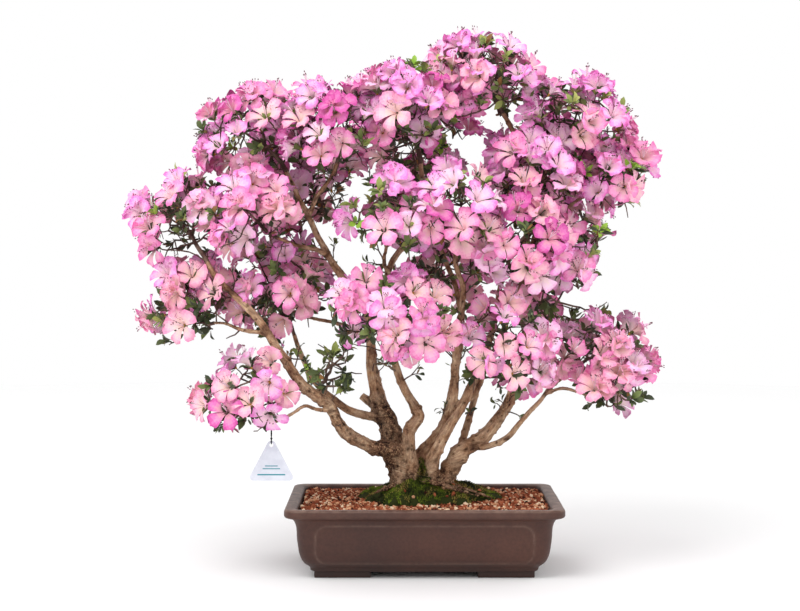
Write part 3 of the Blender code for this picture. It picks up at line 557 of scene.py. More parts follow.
def makeFoot(bm):
    # A ring of points extruded up through each section of the flared foot.
    rings = [footRing(*section) for section in wood["foot"]]
    made = bmesh.ops.create_circle(bm, cap_ends=True, segments=len(rings[0]), radius=1)
    verts = made["verts"]
    face = [f for f in bm.faces if verts[0] in f.verts][0]
    for vert, p in zip(face.verts, rings[0]):
        vert.co = p
    for ring in rings[1:]:
        face = only("Face", bmesh.ops.extrude_face_region(bm, geom=[face]))[0]
        start = min(range(len(ring)), key=lambda k: (Vector(face.verts[0].co.xy) - ring[k].xy).length)
        for k, vert in enumerate(face.verts):
            vert.co = ring[(start + k) % len(ring)]


def addLumps(bm, rng):
    # Callused scars and swollen joints, as flattened balls sunk in the wood.
    stems = [name for name, limb in limbs.items() if "off" not in limb]
    for k in range(wood["knots"]):
        name = rng.choice(stems)
        way, thick = limbWay[name], limbThick[name]
        i = min(len(way) - 2, int(rng.random() ** 1.7 * (len(way) - 1)))
        run = (way[i + 1] - way[i]).normalized()
        out = sideways(run, rng.uniform(0, 6.28))
        size = thick[i] * rng.uniform(0.25, 0.6)
        sunk = Matrix.Translation(way[i] + out * thick[i] * 0.78)
        bmesh.ops.create_icosphere(bm, subdivisions=2, radius=size,
                                   matrix=sunk @ turnedTo(out, 0) @ Matrix.Diagonal((1, 1, 0.75, 1)))
    for x, z, y, size in wood["burls"]:
        middle = Matrix.Translation(placed(x, z, y))
        bmesh.ops.create_icosphere(bm, subdivisions=3, radius=size, matrix=middle)
    for name, limb in limbs.items():
        if "off" in limb:
            bmesh.ops.create_icosphere(bm, subdivisions=2, radius=limbThick[name][0] * 1.35,
                                       matrix=Matrix.Translation(limbWay[name][1]))


def makeWood():
    rng = random.Random("wood")
    ways = []
    for name, limb in limbs.items():
        way, thick = limbWay[name], limbThick[name]
        if "off" not in limb:
            way, thick = sunkInFoot(way, thick)
        ways.append((way, thick))
    start, loss = wood["creepingThick"]
    for points in wood["creeping"]:
        way = smoothWay([placed(*point) for point in points], 5)
        ways.append((way, [start - loss * i / len(way) for i in range(len(way))]))
    tubes = tubesMesh("tubes", ways, 4)
    bm = bmesh.new()
    makeFoot(bm)
    addLumps(bm, rng)
    rough = bmToMesh("rough", bm)
    bm = bmesh.new()
    bm.from_mesh(rough)
    bm.from_mesh(tubes)
    bm.to_mesh(rough)
    bm.free()
    holder = bpy.data.objects.new("wood", rough)
    fuse = holder.modifiers.new("fuse", "REMESH")
    fuse.mode = "VOXEL"
    fuse.voxel_size = wood["voxel"]
    bm = bmesh.new()
    bm.from_mesh(evaluated(holder))
    for k in range(wood["smoothings"]):
        bmesh.ops.smooth_vert(bm, verts=bm.verts, factor=0.5, use_axis_x=True, use_axis_y=True,
                              use_axis_z=True)
    inMillimetres = Matrix.Translation(-potMiddle) @ Matrix.Scale(1 / metre, 4)
    bmesh.ops.transform(bm, matrix=inMillimetres, verts=bm.verts)
    carveBark(bm)
    return bmToMesh("barkedWood", bm)


def sunkInFoot(way, thick):
    # A stem carried on down into the foot, swelling as it goes.
    heading = (way[1] - way[0]).normalized()
    low = Vector((way[0].x * 0.5 - 2, way[0].y * 0.55, wood["sunkTo"]))
    back = way[0] - heading * 9
    way = smoothWay([low, back.lerp(low, 0.4), back, way[0]], 6)[:-1] + way
    extra = len(way) - len(thick)
    return way, [thick[0] * (1.2 - 0.18 * k / extra) for k in range(extra)] + thick


def limbStations():
    found = []
    for name in limbs:
        way, thick = limbWay[name], limbThick[name]
        run = 0.0
        side = (way[1] - way[0]).normalized().orthogonal().normalized()
        for i, p in enumerate(way):
            ahead = (way[min(i + 1, len(way) - 1)] - way[max(i - 1, 0)]).normalized()
            side = (side - ahead * side.dot(ahead)).normalized()
            if i:
                run += (p - way[i - 1]).length
            found.append((p, ahead, side, run, thick[i], name))
    return found


def carveBark(bm):
    along = bm.verts.layers.float_vector.new("grain")
    age = bm.verts.layers.float.new("age")
    creviceShade = bm.verts.layers.float.new("creviceShade")
    bm.normal_update()
    moves = []
    for vert in bm.verts:
        p = vert.co
        near, index, gap = limbTree.find(p)
        _, ahead, side, run, thick, name = stations[index]
        off = p - near
        inFoot = 1 - smoothstep(100, 150, p.z)
        run = run + off.dot(ahead)
        across = ahead.cross(side)
        ring = Vector((off.dot(side), off.dot(across), 0))
        ring = ring.normalized() * max(thick, 3) if ring.length > 0.01 else Vector((thick, 0, 0))
        grain = Vector((ring.x, ring.y, run))
        foot = Vector((p.x, p.y, p.z * 0.6))
        grain = grain.lerp(foot, inFoot)
        oldTrunk = math.exp(-((p.x + 48) / 27) ** 2) * (1 - smoothstep(208, 240, p.z)) * (p.y < 32)
        crazed = 0.4 * (name == "stem_front_left")
        crazed *= (1 - smoothstep(-75, -40, p.x)) * (1 - smoothstep(215, 300, p.z))
        patch = 0.9 + 0.6 * noise.noise(p / relief["patchWide"])
        rough = min(1, max(inFoot, oldTrunk, crazed) * patch)
        x, y, z = grain
        wide, long = relief["streakWide"], relief["streakLong"]
        streak = noise.noise(Vector((x / wide, y / wide, z / long)))
        wide, long = relief["plateWide"], relief["plateLong"]
        plate = noise.noise(Vector((x / wide, y / wide, z / long)) + Vector((7, 3, 1)))
        lump = noise.noise(p / relief["lumpWide"] + Vector((3, 9, 5)))
        flake = noise.noise(p / relief["flakeWide"])
        wart = max(0.0, noise.noise(p / relief["wartWide"] + Vector((1, 5, 8))) - 0.25) * 5
        young = relief["youngLump"] * lump + relief["youngStreak"] * streak + relief["youngPlate"] * plate + wart
        old = relief["oldFlake"] * flake + relief["oldPlate"] * plate + relief["oldLump"] * lump
        moves.append(vert.normal * (min(1.0, thick / 9) * young + rough * old))
        # Painted shade: darker where the relief sinks, and darker still in the crotches where two limbs meet.
        hollow = -0.14 - 0.5 * streak - 1.1 * plate - 2.2 * rough * flake
        if gap < thick + 6:
            owners = {}
            for place, other, apart in limbTree.find_n(p, 9):
                owner = stations[other][5]
                owners[owner] = min(owners.get(owner, 99), abs(apart - stations[other][4]))
            if len(owners) > 1:
                hollow = max(hollow, 0.9 - sorted(owners.values())[1] / 4)
        vert[creviceShade] = min(1.0, max(0.0, hollow))
        vert[along] = grain / 1000
        vert[age] = min(1.0, rough + 0.25 * max(0, lump))
    for vert, move in zip(bm.verts, moves):
        vert.co += move


def barkMaterial():
    # Pale grey-tan bark, grown tight on the upper limbs and cracked into flakes low down, with dark pores, and
    # painted shade in its hollows and where limbs meet.
    made, tree, shader = newMaterial("azalea bark", {"Roughness": 0.82, "Specular IOR Level": 0.25})
    grain = addNode(tree, "Attribute", {"attribute_name": "grain"}).outputs["Vector"]
    age = addNode(tree, "Attribute", {"attribute_name": "age"}).outputs["Fac"]
    creviceShade = addNode(tree, "Attribute", {"attribute_name": "creviceShade"}).outputs["Fac"]
    place = addNode(tree, "TexCoord").outputs["Object"]
    stretched = addNode(tree, "Mapping", values={"Scale": (330, 330, 85)}, links={"Vector": grain}).outputs["Vector"]
    streaks = addNode(tree, "TexNoise", values={"Scale": 1.0, "Detail": 6, "Roughness": 0.72, "Distortion": 0.4},
                      links={"Vector": stretched})
    plates = addNode(tree, "TexVoronoi", {"feature": "DISTANCE_TO_EDGE"}, {"Scale": 0.9, "Randomness": 1.0},
                     {"Vector": stretched})
    shaken = addNode(tree, "TexNoise", values={"Scale": 160, "Detail": 2}, links={"Vector": place})
    shifted = addNode(tree, "VectorMath", {"operation": "MULTIPLY_ADD"}, {1: (0.008, 0.008, 0.008)},
                      {0: shaken.outputs["Color"], 2: place})
    pores = addNode(tree, "TexVoronoi", values={"Scale": 105, "Randomness": 1.0},
                    links={"Vector": shifted.outputs["Vector"]})
    cloud = addNode(tree, "TexNoise", values={"Scale": 30, "Detail": 4, "Roughness": 0.65}, links={"Vector": place})
    fine = addNode(tree, "TexNoise", values={"Scale": 480, "Detail": 4, "Roughness": 0.75}, links={"Vector": place})
    tan = addNode(tree, "ValToRGB", links={"Fac": streaks.outputs["Fac"]},
                  stops=[(0.3, "8b6850"), (0.44, "b49278"), (0.55, "cfae8d"), (0.7, "ecd5b5")])
    tint = addNode(tree, "ValToRGB", links={"Fac": cloud.outputs["Fac"]},
                   stops=[(0.35, "6f4a3b"), (0.45, "d8c3b3"), (0.58, "ffffff"), (0.74, "dcbc98")])
    young = addNode(tree, "Mix", multiplied, {0: 0.85}, {6: tan.outputs["Color"], 7: tint.outputs["Color"]})
    spots = addNode(tree, "ValToRGB", links={"Fac": pores.outputs["Distance"]},
                    stops=[(0.1, "5a4032"), (0.3, "ffffff")])
    spotted = addNode(tree, "Mix", multiplied, {0: 0.85}, {6: young.outputs[2], 7: spots.outputs["Color"]})
    old = addNode(tree, "ValToRGB", links={"Fac": fine.outputs["Fac"]},
                  stops=[(0.38, "1d0f09"), (0.46, "4e2d20"), (0.53, "805b43"), (0.62, "c2a17c")])
    cracks = addNode(tree, "ValToRGB", links={"Fac": plates.outputs["Distance"]},
                     stops=[(0.0, "3a2c24"), (0.09, "ffffff")])
    cracked = addNode(tree, "Mix", multiplied, {0: 0.8}, {6: old.outputs["Color"], 7: cracks.outputs["Color"]})
    whole = addNode(tree, "Mix", {"data_type": "RGBA"}, links={0: age, 6: spotted.outputs[2], 7: cracked.outputs[2]})
    # Painted shade from the crevice share darkens the hollows and crotches.
    creviceShading = addNode(tree, "Mix", multiplied, {7: toLinear("4c3022")}, {0: creviceShade, 6: whole.outputs[2]})
    tree.links.new(creviceShading.outputs[2], shader.inputs["Base Color"])
    relief = addNode(tree, "Math", {"operation": "ADD"}, links={0: streaks.outputs["Fac"], 1: fine.outputs["Fac"]})
    bump = addNode(tree, "Bump", values={"Strength": 0.9, "Distance": 0.0014}, links={"Height": relief.outputs[0]})
    tree.links.new(bump.outputs["Normal"], shader.inputs["Normal"])
    return made


layOutLimbs()
stations = limbStations()
limbTree = kdtree.KDTree(len(stations))
for i, station in enumerate(stations):
    limbTree.insert(station[0], i)
limbTree.balance()
woodMesh = makeWood()
toPiece("barkedWood", woodMesh, [barkMaterial()], ["trunk_foot", *limbs])
print("stage: wood,", triangles(woodMesh), "triangles")

# ---- masses of blossom: each keeps the solids' space, middle and stem, with finer twigs ----
# The limb it grows from, how far along it, its middle as seen from the front, depth, half sizes, and the share
# of its tips that flower.
masses = {
    "blossom_upper_left": ("stem_rough_left", 1, (-224, 568), -5, (77, 88, 68), 0.8),
    "blossom_upper_middle": ("bough_upper_middle", 1, (-121, 576), -48, (66, 86, 68), 0.85),
    "blossom_top": ("stem_elbowed", 1, (-21, 605), -42, (64, 86, 66), 0.7),
    "blossom_apex": ("stem_right", 1, (78, 640), 0, (76, 90, 61), 0.75),
    "blossom_upper_right": ("bough_upper_right", 1, (202, 593), 0, (76, 90, 54), 0.85),
    "blossom_right_shoulder": ("bough_right_shoulder", 1, (252, 512), 12, (66, 84, 52), 0.8),
    "blossom_right_inner": ("stem_right", 0.78, (147, 514), -42, (56, 60, 54), 0.85),
    "blossom_left_shoulder": ("bough_left_shoulder", 1, (-228, 462), -62, (60, 78, 56), 0.8),
    "blossom_far_left": ("stem_front_left", 1, (-321, 462), -8, (62, 82, 60), 0.75),
    "blossom_left_low": ("bough_left_low", 1, (-314, 343), -30, (60, 66, 58), 0.75),
    "blossom_tagged": ("branch_tagged", 1, (-240, 223), -95, (62, 62, 56), 0.75),
    "blossom_low_spray": ("bough_left_inner", 0.6, (-118, 262), -60, (44, 44, 40), 0.45),
    "blossom_left_inner": ("bough_left_inner", 1, (-196, 362), -8, (68, 72, 62), 0.85),
    "blossom_front_left": ("bough_front_left", 1, (-47, 462), -96, (58, 70, 54), 0.7),
    "blossom_front_middle": ("stem_middle", 1, (46, 472), -106, (58, 70, 56), 0.8),
    "blossom_front_low": ("bough_front_low", 1, (-46, 325), -128, (82, 66, 57), 0.8),
    "blossom_middle_right": ("stem_right_middle", 1, (128, 425), -76, (62, 74, 62), 0.8),
    "blossom_right_middle": ("bough_right_middle", 1, (208, 411), -16, (57, 76, 58), 0.75),
    "blossom_front_right": ("bough_front_right", 1, (110, 284), -76, (62, 64, 76), 0.8),
    "blossom_right_low": ("stem_far_right", 1, (232, 282), -18, (76, 76, 50), 0.8),
    "blossom_right_skirt": ("bough_right_skirt", 1, (250, 228), -48, (60, 58, 44), 0.7),
    "blossom_back_left": ("stem_back_left", 1, (-172, 500), 116, (92, 84, 76), 0.75),
    "blossom_back_top": ("stem_back_middle", 1, (-10, 552), 118, (90, 86, 78), 0.75),
    "blossom_back_right": ("stem_back_right", 1, (158, 520), 112, (88, 84, 76), 0.75),
    "blossom_back_left_low": ("bough_back_left_low", 1, (-190, 366), 112, (84, 78, 68), 0.75),
    "blossom_back_low": ("bough_back_low", 1, (14, 400), 150, (88, 74, 76), 0.75),
    "blossom_back_right_low": ("bough_back_right_low", 1, (184, 362), 106, (78, 78, 66), 0.75),
}
crownCore = Vector((0, 10, 360))
growth = dict(tries=190, hub=13, coreShare=0.4, stem=2.9, twig=1.5, twigTip=0.8, wiggle=2.4, wallGive=15,
              blossomSeat=17, leafSeat=11, blossomDeep=18, blossomRoom=15, leafRoom=7, bare=0.9, bareTip=0.55,
              wild=120, wildLong=(16, 52), wildFrom=185, wildTo=470,
              # each pass: pull to the mass's edge, least light, chance, share in flower, room between tips
              passes=((0.98, 0.1, 1.0, 0.97, 28), (0.86, -0.2, 0.9, 0.7, 27), (0.78, -0.7, 0.75, 0.2, 25),
                      (0.52, -1.0, 0.55, 0.1, 23)))
# Openings and the bites in the crown's edge, as seen from the front: middle x, z and half width, half height.
skyGaps = [(68, 548, 20, 14), (-84, 492, 8, 9), (-52, 410, 12, 16), (-236, 395, 18, 6), (-148, 302, 20, 24),
           (-81, 274, 18, 20), (-30, 235, 60, 22), (60, 225, 40, 22), (232, 353, 50, 16), (262, 400, 22, 44),
           (-374, 514, 26, 24), (-376, 372, 20, 26), (-328, 278, 44, 14), (-300, 266, 18, 20),
           (-242, 160, 50, 14), (322, 312, 18, 30), (232, 190, 38, 18), (302, 198, 22, 20), (318, 494, 18, 34),
           (300, 597, 18, 22), (-276, 645, 28, 20), (-126, 660, 14, 10), (-51, 680, 14, 8), (180, 662, 20, 10),
           (280, 640, 20, 18)]

massMiddle = {name: placed(entry[2][0], entry[2][1], entry[3]) for name, entry in masses.items()}
twigWays = []      # (points, radii) of every fine twig
tips = []          # (place, facing, kind) of every tip


def inSky(p, room):
    x, z = seenAt(p)
    return any(((x - gx) / (w + room)) ** 2 + ((z - gz) / (h + room)) ** 2 < 1 for gx, gz, w, h in skyGaps)


def addTwig(way, radii):
    # A twig with a small wander between its stations.
    fine = smoothWay(way, 8)
    last = max(1, len(fine) - 1)
    wander = [noise.noise_vector(p / 9) * growth["wiggle"] * min(1, i, last - i) for i, p in enumerate(fine)]
    fine = [p + w for p, w in zip(fine, wander)]
    twigWays.append((fine, [radii[0] + (radii[1] - radii[0]) * i / last for i in range(len(fine))]))


def wallsOf(name):
    # Planes between a mass and each of the others, as a direction and the distance out along it.
    middle, mean = massMiddle[name], sum(masses[name][4]) / 3
    walls = []
    for other, entry in masses.items():
        if other != name:
            apart = massMiddle[other] - middle
            far = apart.length
            share = 0.5 + (mean ** 2 - (sum(entry[4]) / 3) ** 2) / (2 * far * far)
            walls.append((apart / far, middle.dot(apart / far) + far * share + growth["wallGive"]))
    return walls


def massStart(name):
    # Where a mass's own stem leaves its limb, which way it heads and how thick it is there.
    limb, along = masses[name][:2]
    way, thick = limbWay[limb], limbThick[limb]
    if along == 1:
        heading = (way[-1] - way[-2]).normalized()
        return way[-1] - heading * 3, heading, thick[-1]
    i = round(along * (len(way) - 1))
    run = (way[i + 1] - way[i - 1]).normalized()
    heading = massMiddle[name] - way[i]
    heading = (heading - run * heading.dot(run)).normalized()
    return way[i] + heading * thick[i] * 0.6, heading, growth["stem"]


def litRays(middle, half, rng):
    # Directions spread evenly over a mass, the best lit first.
    turn = rng.uniform(0, 6.28)
    rays = []
    for k in range(growth["tries"]):
        level = 1 - 2 * (k + 0.5) / growth["tries"]
        around = turn + k * golden
        flat = math.sqrt(1 - level * level)
        ray = Vector((math.cos(around) * flat, math.sin(around) * flat, level))
        reach = Vector([ray[i] * half[i] for i in range(3)])
        outward = (middle + reach - crownCore).normalized()
        lit = 0.5 * ray.dot(outward) + 0.55 * ray.z - 0.25 * ray.y * (middle.y < 40)
        rays.append((lit + rng.uniform(-0.2, 0.2), ray, reach, outward))
    return sorted(rays, key=lambda entry: -entry[0])


def growMass(name):
    half, flowers = masses[name][4:]
    rng = random.Random(name)
    middle, walls = massMiddle[name], wallsOf(name)
    start, heading, radius = massStart(name)
    hub = start + heading * growth["hub"]
    core = middle.lerp(hub, growth["coreShare"])
    addTwig([start, hub, core], (radius, growth["stem"] * 0.8))
    long = (core - hub).length
    joints = [(hub, 10.0), (hub.lerp(core, 0.5), 10 + long / 2), (core, 10 + long)]
    rays = litRays(middle, half, rng)
    ends = []
    for pull, lowest, chance, flowering, room in growth["passes"]:
        for light, ray, reach, outward in rays:
            if light < lowest:
                break
            if rng.random() > chance:
                continue
            face = (ray * 0.8 + outward * 0.6 + Vector((0, -0.12, 0.3)) + shake(rng, 0.65)).normalized()
            inFlower = rng.random() < flowers * flowering
            back = middle + reach * pull - face * growth["blossomSeat" if inFlower else "leafSeat"]
            if any((back - other).length < room for other in ends):
                continue
            top = back + face * growth["blossomDeep"]
            if any(top.dot(out) > limit for out, limit in walls):
                continue
            if inSky(top, growth["blossomRoom" if inFlower else "leafRoom"]) or inSky(back, 3):
                continue
            near, index, gap = limbTree.find(back)
            if gap < stations[index][4] + 7:
                continue
            place, run = min(joints, key=lambda joint: (joint[0] - back).length + 0.3 * joint[1])
            gap = (back - place).length
            if gap < 7:
                continue
            bend = back - face * min(14, gap * 0.4)
            thick = growth["twig"] if run < 60 else growth["twig"] * 0.8
            addTwig([place, bend, back], (thick, growth["twigTip"]))
            if rng.random() < growth["bare"]:
                spur = shake(rng, 1).normalized()
                way = [bend, bend + spur * rng.uniform(7, 12), bend + spur * rng.uniform(14, 26)]
                addTwig(way, (1.0, growth["bareTip"]))
            joints.append((bend, run + (bend - place).length))
            joints.append((place.lerp(bend, 0.55), run + (bend - place).length * 0.55))
            ends.append(back)
            tips.append((back, face, "bloom" if inFlower else "sprig" if pull > 0.8 else "inner"))


def growWild():
    # Thin shoots straight off the old wood, a few of them dead and bare.
    rng = random.Random("wild")
    bare = [station for station in stations
            if growth["wildFrom"] < station[0].z < growth["wildTo"] and station[5] != "cut_snag"]
    for k in range(growth["wild"]):
        start, ahead, side = rng.choice(bare)[:3]
        out = side.copy()
        out.rotate(Matrix.Rotation(rng.uniform(0, 6.28), 3, ahead))
        out = (out + Vector((0, -0.2, 0.45)) + ahead * 0.3).normalized()
        long = rng.uniform(*growth["wildLong"])
        bend = start + out * long * 0.5 + shake(rng, 0.16) * long
        end = bend + (out + shake(rng, 0.6)).normalized() * long * 0.5
        if inSky(end, -4) or limbTree.find(end)[2] < 9:
            continue
        addTwig([start, bend, end], (1.1, 0.6))
        face = (end - bend).normalized()
        if rng.random() < 0.7:
            tips.append((end, face, "wild"))
        if rng.random() < 0.6:
            fork = bend + (face + shake(rng, 0.9)).normalized() * long * 0.35
            addTwig([bend, fork], (0.8, 0.5))
            if rng.random() < 0.6:
                tips.append((fork, (fork - bend).normalized(), "wild"))


for name in masses:
    growMass(name)
growWild()
print("stage: growth,", sum(1 for tip in tips if tip[2] == "bloom"), "blossom tips,",
      sum(1 for tip in tips if tip[2] == "sprig"), "leaf tips,", len(twigWays), "twigs")

twigMesh = tubesMesh("fineTwigs", twigWays, 0)


def twigMaterial():
    # Young bark, smooth and dull: brown with greyer stretches.
    return mottledMaterial("young azalea twig", {"Roughness": 0.75, "Specular IOR Level": 0.25}, 60, 3,
                           [(0.32, "3a2a28"), (0.5, "5e473f"), (0.7, "8a7464")])


toPiece("fineTwigs", twigMesh, [twigMaterial()], list(masses))
print("stage: twigs,", triangles(twigMesh), "triangles")

# ---- blossom: a short funnel that opens into five rounded lobes, with long stamens ----
blossom = dict(across=6, along=8, reach=24.2, deep=20, openness=(1.0, 0.94, 1.06, 0.84, 1.0, 0.72, 1.1),
               stamens=5, speckles=12, sizes=(0.86, 1.05), budded=0.5,
               # share along a lobe: distance from the middle, height, half width, all in mm
               lobe=[(0.0, 1.3, 0, 0.9), (0.25, 4.4, 6.6, 2.9), (0.42, 8.2, 10.6, 5.2), (0.58, 12.6, 13.2, 7.6),
                     (0.74, 17.0, 14.6, 9.6), (0.88, 21.2, 15.0, 9.4), (0.96, 23.6, 14.8, 6.8),
                     (1.0, 24.2, 14.6, 3.8)])
kinds = range(len(blossom["openness"]))
petalTints = {    # throat, inner, middle, edge
    "Lilac": ("f9d0df", "fabdea", "f28dd3", "e468c0"),
    "Rose": ("f6c6cd", "f7add3", "f087bf", "e463a9"),
    "Blush": ("f7cfca", "f8bfcf", "f19fbf", "e67dad"),
    "Pale": ("fadbdf", "fcd3ec", "f7b7e0", "ee8dcd"),
    "Deep": ("e5a0b6", "e37dba", "d456a5", "bb3b8c"),
}
tintNames = list(petalTints)


def lobeAt(share):
    table = blossom["lobe"]
    for a, b in zip(table, table[1:]):
        if share <= b[0]:
            t = (share - a[0]) / (b[0] - a[0])
            return [a[i] + (b[i] - a[i]) * t for i in (1, 2, 3)]
    return list(table[-1][1:])


def addLobe(whole, lobe, openness, rng):
    # One petal lobe, cupped and frilled, with its faces in bands of colour.
    piece = bmesh.new()
    bmesh.ops.create_grid(piece, x_segments=blossom["across"], y_segments=blossom["along"], size=1)
    twist = rng.uniform(-0.12, 0.12)
    long, wide, curl = rng.uniform(0.92, 1.05), rng.uniform(0.9, 1.08), rng.uniform(-2, 4)
    phase, waves = rng.uniform(0, 6.28), rng.uniform(3.6, 5.4)
    tilt, notch = rng.uniform(0.1, 0.22), rng.uniform(0, 1.6)
    for vert in piece.verts:
        u, v = vert.co.x, (vert.co.y + 1) / 2
        far, high, half = lobeAt(v)
        far *= 1 + (openness - 1) * v
        high += (1 - openness) * 16 * v * v
        rim = max(abs(u) ** 3, max(0, v - 0.8) * 4)
        frill = (2.3 * math.sin(waves * u + phase + 6 * v) + rng.uniform(-0.5, 0.5)) * rim * v
        x = far * (1 + (long - 1) * v) - (1.3 * abs(u) ** 2 + notch * math.exp(-(u / 0.3) ** 2)) * v ** 6
        z = high + frill + tilt * u * half + 1.2 * abs(u) ** 2 * v * (1 - v) * 4
        z -= curl * max(0, v - 0.7) ** 2 * 14
        z -= (1 - min(1, abs(u) * 2.5)) * v
        vert.co = Vector((x, u * half * wide + 0.5 * frill, z))
    for face in piece.faces:
        middle = face.calc_center_median()
        share = min(1, max(0, (middle.x - 1.3) / (blossom["reach"] * openness - 1.3)))
        offside = min(1, abs(middle.y) / (2 + 8 * share))
        level = 0.66 * share ** 1.3 + 0.42 * offside ** 1.3 * share + rng.uniform(-0.05, 0.05)
        face.material_index = min(5, max(0, int((level - 0.06) * 6.2)))
    spin = Matrix.Rotation(2 * math.pi * lobe / 5 + twist, 4, "Z")
    bmesh.ops.transform(piece, matrix=spin, verts=piece.verts)
    addShape(whole, piece)


def blossomShape(kind):
    rng = random.Random("blossom" + str(kind))
    whole = bmesh.new()
    for lobe in range(5):
        addLobe(whole, lobe, blossom["openness"][kind], rng)
    for k in range(blossom["stamens"]):
        turn, lean = rng.uniform(-1.3, 1.3), rng.uniform(2, 6)
        tip = Vector((lean * math.cos(turn) + 3, lean * math.sin(turn), blossom["deep"] + rng.uniform(4, 9)))
        piece = bmesh.new()
        addStamen(piece, [Vector((0, 0, 3)), Vector((tip.x * 0.35, tip.y * 0.35, 13)), tip], 0.42)
        addShape(whole, piece)
    for k in range(blossom["speckles"]):
        v, u = rng.uniform(0.4, 0.75), rng.uniform(-0.75, 0.75)
        far, high, half = lobeAt(v)
        place = Matrix.Translation((far, u * half, high + 0.55 + 0.6 * u * u))
        piece = bmesh.new()
        bmesh.ops.create_circle(piece, cap_ends=True, segments=4, radius=rng.uniform(0.45, 0.75),
                                matrix=place @ Matrix.Rotation(-0.45, 4, "Y"))
        for face in piece.faces:
            face.material_index = 7
        spin = Matrix.Rotation(rng.choice((0, 0, 0.2, -0.2)), 4, "Z")
        bmesh.ops.transform(piece, matrix=spin, verts=piece.verts)
        addShape(whole, piece)
    return shapeOf(whole)


def addStamen(bm, way, radius):
    # A thin three-sided thread with a dark knob at its end.
    made = bmesh.ops.create_circle(bm, segments=3, radius=radius, matrix=Matrix.Translation(way[0]))
    edges = list({e for v in made["verts"] for e in v.link_edges})
    for a, b in zip(way, way[1:]):
        made = bmesh.ops.extrude_edge_only(bm, edges=edges)
        edges = only("Edge", made)
        bmesh.ops.translate(bm, vec=b - a, verts=only("Vert", made))
    for face in bm.faces:
        face.material_index = 6
    knob = bmesh.ops.create_cone(bm, cap_ends=True, segments=4, radius1=0.9, radius2=0.3, depth=1.9,
                                 matrix=Matrix.Translation(way[-1]))
    for vert in knob["verts"]:
        for face in vert.link_faces:
            face.material_index = 8


def petalMaterials(tint):
    # Six bands from throat to edge, between four named colours.
    made = []
    stops = petalTints[tint]
    for band in range(6):
        place = band * 3 / 5
        low = min(2, int(place))
        pair = [[int(colour[k:k + 2], 16) for k in (0, 2, 4)] for colour in stops[low:low + 2]]
        shade = "".join("%02x" % round(a + (b - a) * (place - low)) for a, b in zip(*pair))
        made.append(softMaterial(tint.lower() + " petal band " + str(band + 1), shade, 0.5))
    made.append(softMaterial(tint.lower() + " stamen", "f7dbe8", 0.5))
    made.append(softMaterial(tint.lower() + " speckle", "a4266a", 0.6))
    made.append(softMaterial(tint.lower() + " anther", "6a3140", 0.6))
    return made


def softMaterial(name, colour, rough):
    # Thin living tissue: matt with a faint sheen and fine veins in its relief.
    values = {"Base Color": toLinear(colour), "Roughness": rough, "Specular IOR Level": 0.3, "Sheen Weight": 0.1}
    return reliefMaterial(name, values, 900, 2, 0.15, 0.0003)


# ---- leaves: small pointed ovals in whorls ----
leaf = dict(long=16.5, wide=7.8, bows=(2.2, 4.2, -2.4), bloom=(5, 8), sprig=(8, 13), inner=(3, 7), wild=(2, 5),
            sizes=(0.5, 1.12), young=0.16, lime=0.6, bronze=0.04)
leafTints = {"bright": "b3b867", "fresh": "929d54", "green": "6f7d45", "deep": "535f35", "dark": "3b452b",
             "bronze": "8a6235", "lime": "93b841"}


def leafShape(bow):
    piece = bmesh.new()
    bmesh.ops.create_grid(piece, x_segments=2, y_segments=4, size=1)
    for vert in piece.verts:
        u, v = vert.co.x, (vert.co.y + 1) / 2
        half = leaf["wide"] / 2 * (math.sin(math.pi * v ** 1.12) ** 0.72 if 0 < v < 1 else 0.06)
        fold = 1.7 * abs(u) * math.sin(math.pi * v)
        vert.co = Vector((v * leaf["long"], u * half, fold + bow * math.sin(math.pi * v * 0.8) - 0.5))
    bmesh.ops.remove_doubles(piece, verts=piece.verts, dist=0.02)
    return shapeOf(piece)


def budShape():
    piece = bmesh.new()
    bmesh.ops.create_icosphere(piece, subdivisions=1, radius=1)
    for vert in piece.verts:
        vert.co = Vector((vert.co.x * 2.1, vert.co.y * 2.1, 2.5 + vert.co.z * 4.6))
    return shapeOf(piece)


def addTruss(blossoms, place, face, outer, rng):
    # One to three blossoms from one tip, nearly all of one tint.
    count = rng.choice((1, 1, 2, 2, 3))
    # Painted light: blossoms facing up and high in the crown lean to the pale and lilac tints, those facing down or
    # low to the warmer blush tints, as lit and shaded petals.
    sunny = smoothstep(-0.3, 0.5, face.z)
    weights = (0.15 + 0.9 * outer * sunny, 0.5, 1.2 - 0.8 * outer - 0.4 * sunny,
               (0.34 - 0.1 * outer) * sunny, 0.03 + 0.2 * outer)
    lead = rng.choices(tintNames, weights)[0]
    first = rng.uniform(0, 6.28)
    for k in range(count):
        lean = 0.12 if count == 1 else rng.uniform(0.45, 0.7)
        way = (face + sideways(face, first + k * 6.28 / count) * lean).normalized()
        size = rng.uniform(*blossom["sizes"])
        tint = lead if rng.random() < 0.75 else rng.choice(tintNames[:4])
        spin = rng.uniform(0, 6.28)
        up = Vector((0, 0, 1)) - way * way.z
        if up.length > 0.2:    # the speckled lobe is held uppermost
            x = up.normalized()
            held = Matrix((x, way.cross(x), way)).transposed().to_4x4()
            held = held @ Matrix.Rotation(rng.uniform(-0.5, 0.5), 4, "Z")
        else:
            held = turnedTo(way, spin)
        seat = Matrix.Translation(place + way * (0.5 if count == 1 else 2.5))
        blossoms[tint, rng.randrange(len(kinds))].append(seat @ held @ Matrix.Scale(size, 4))


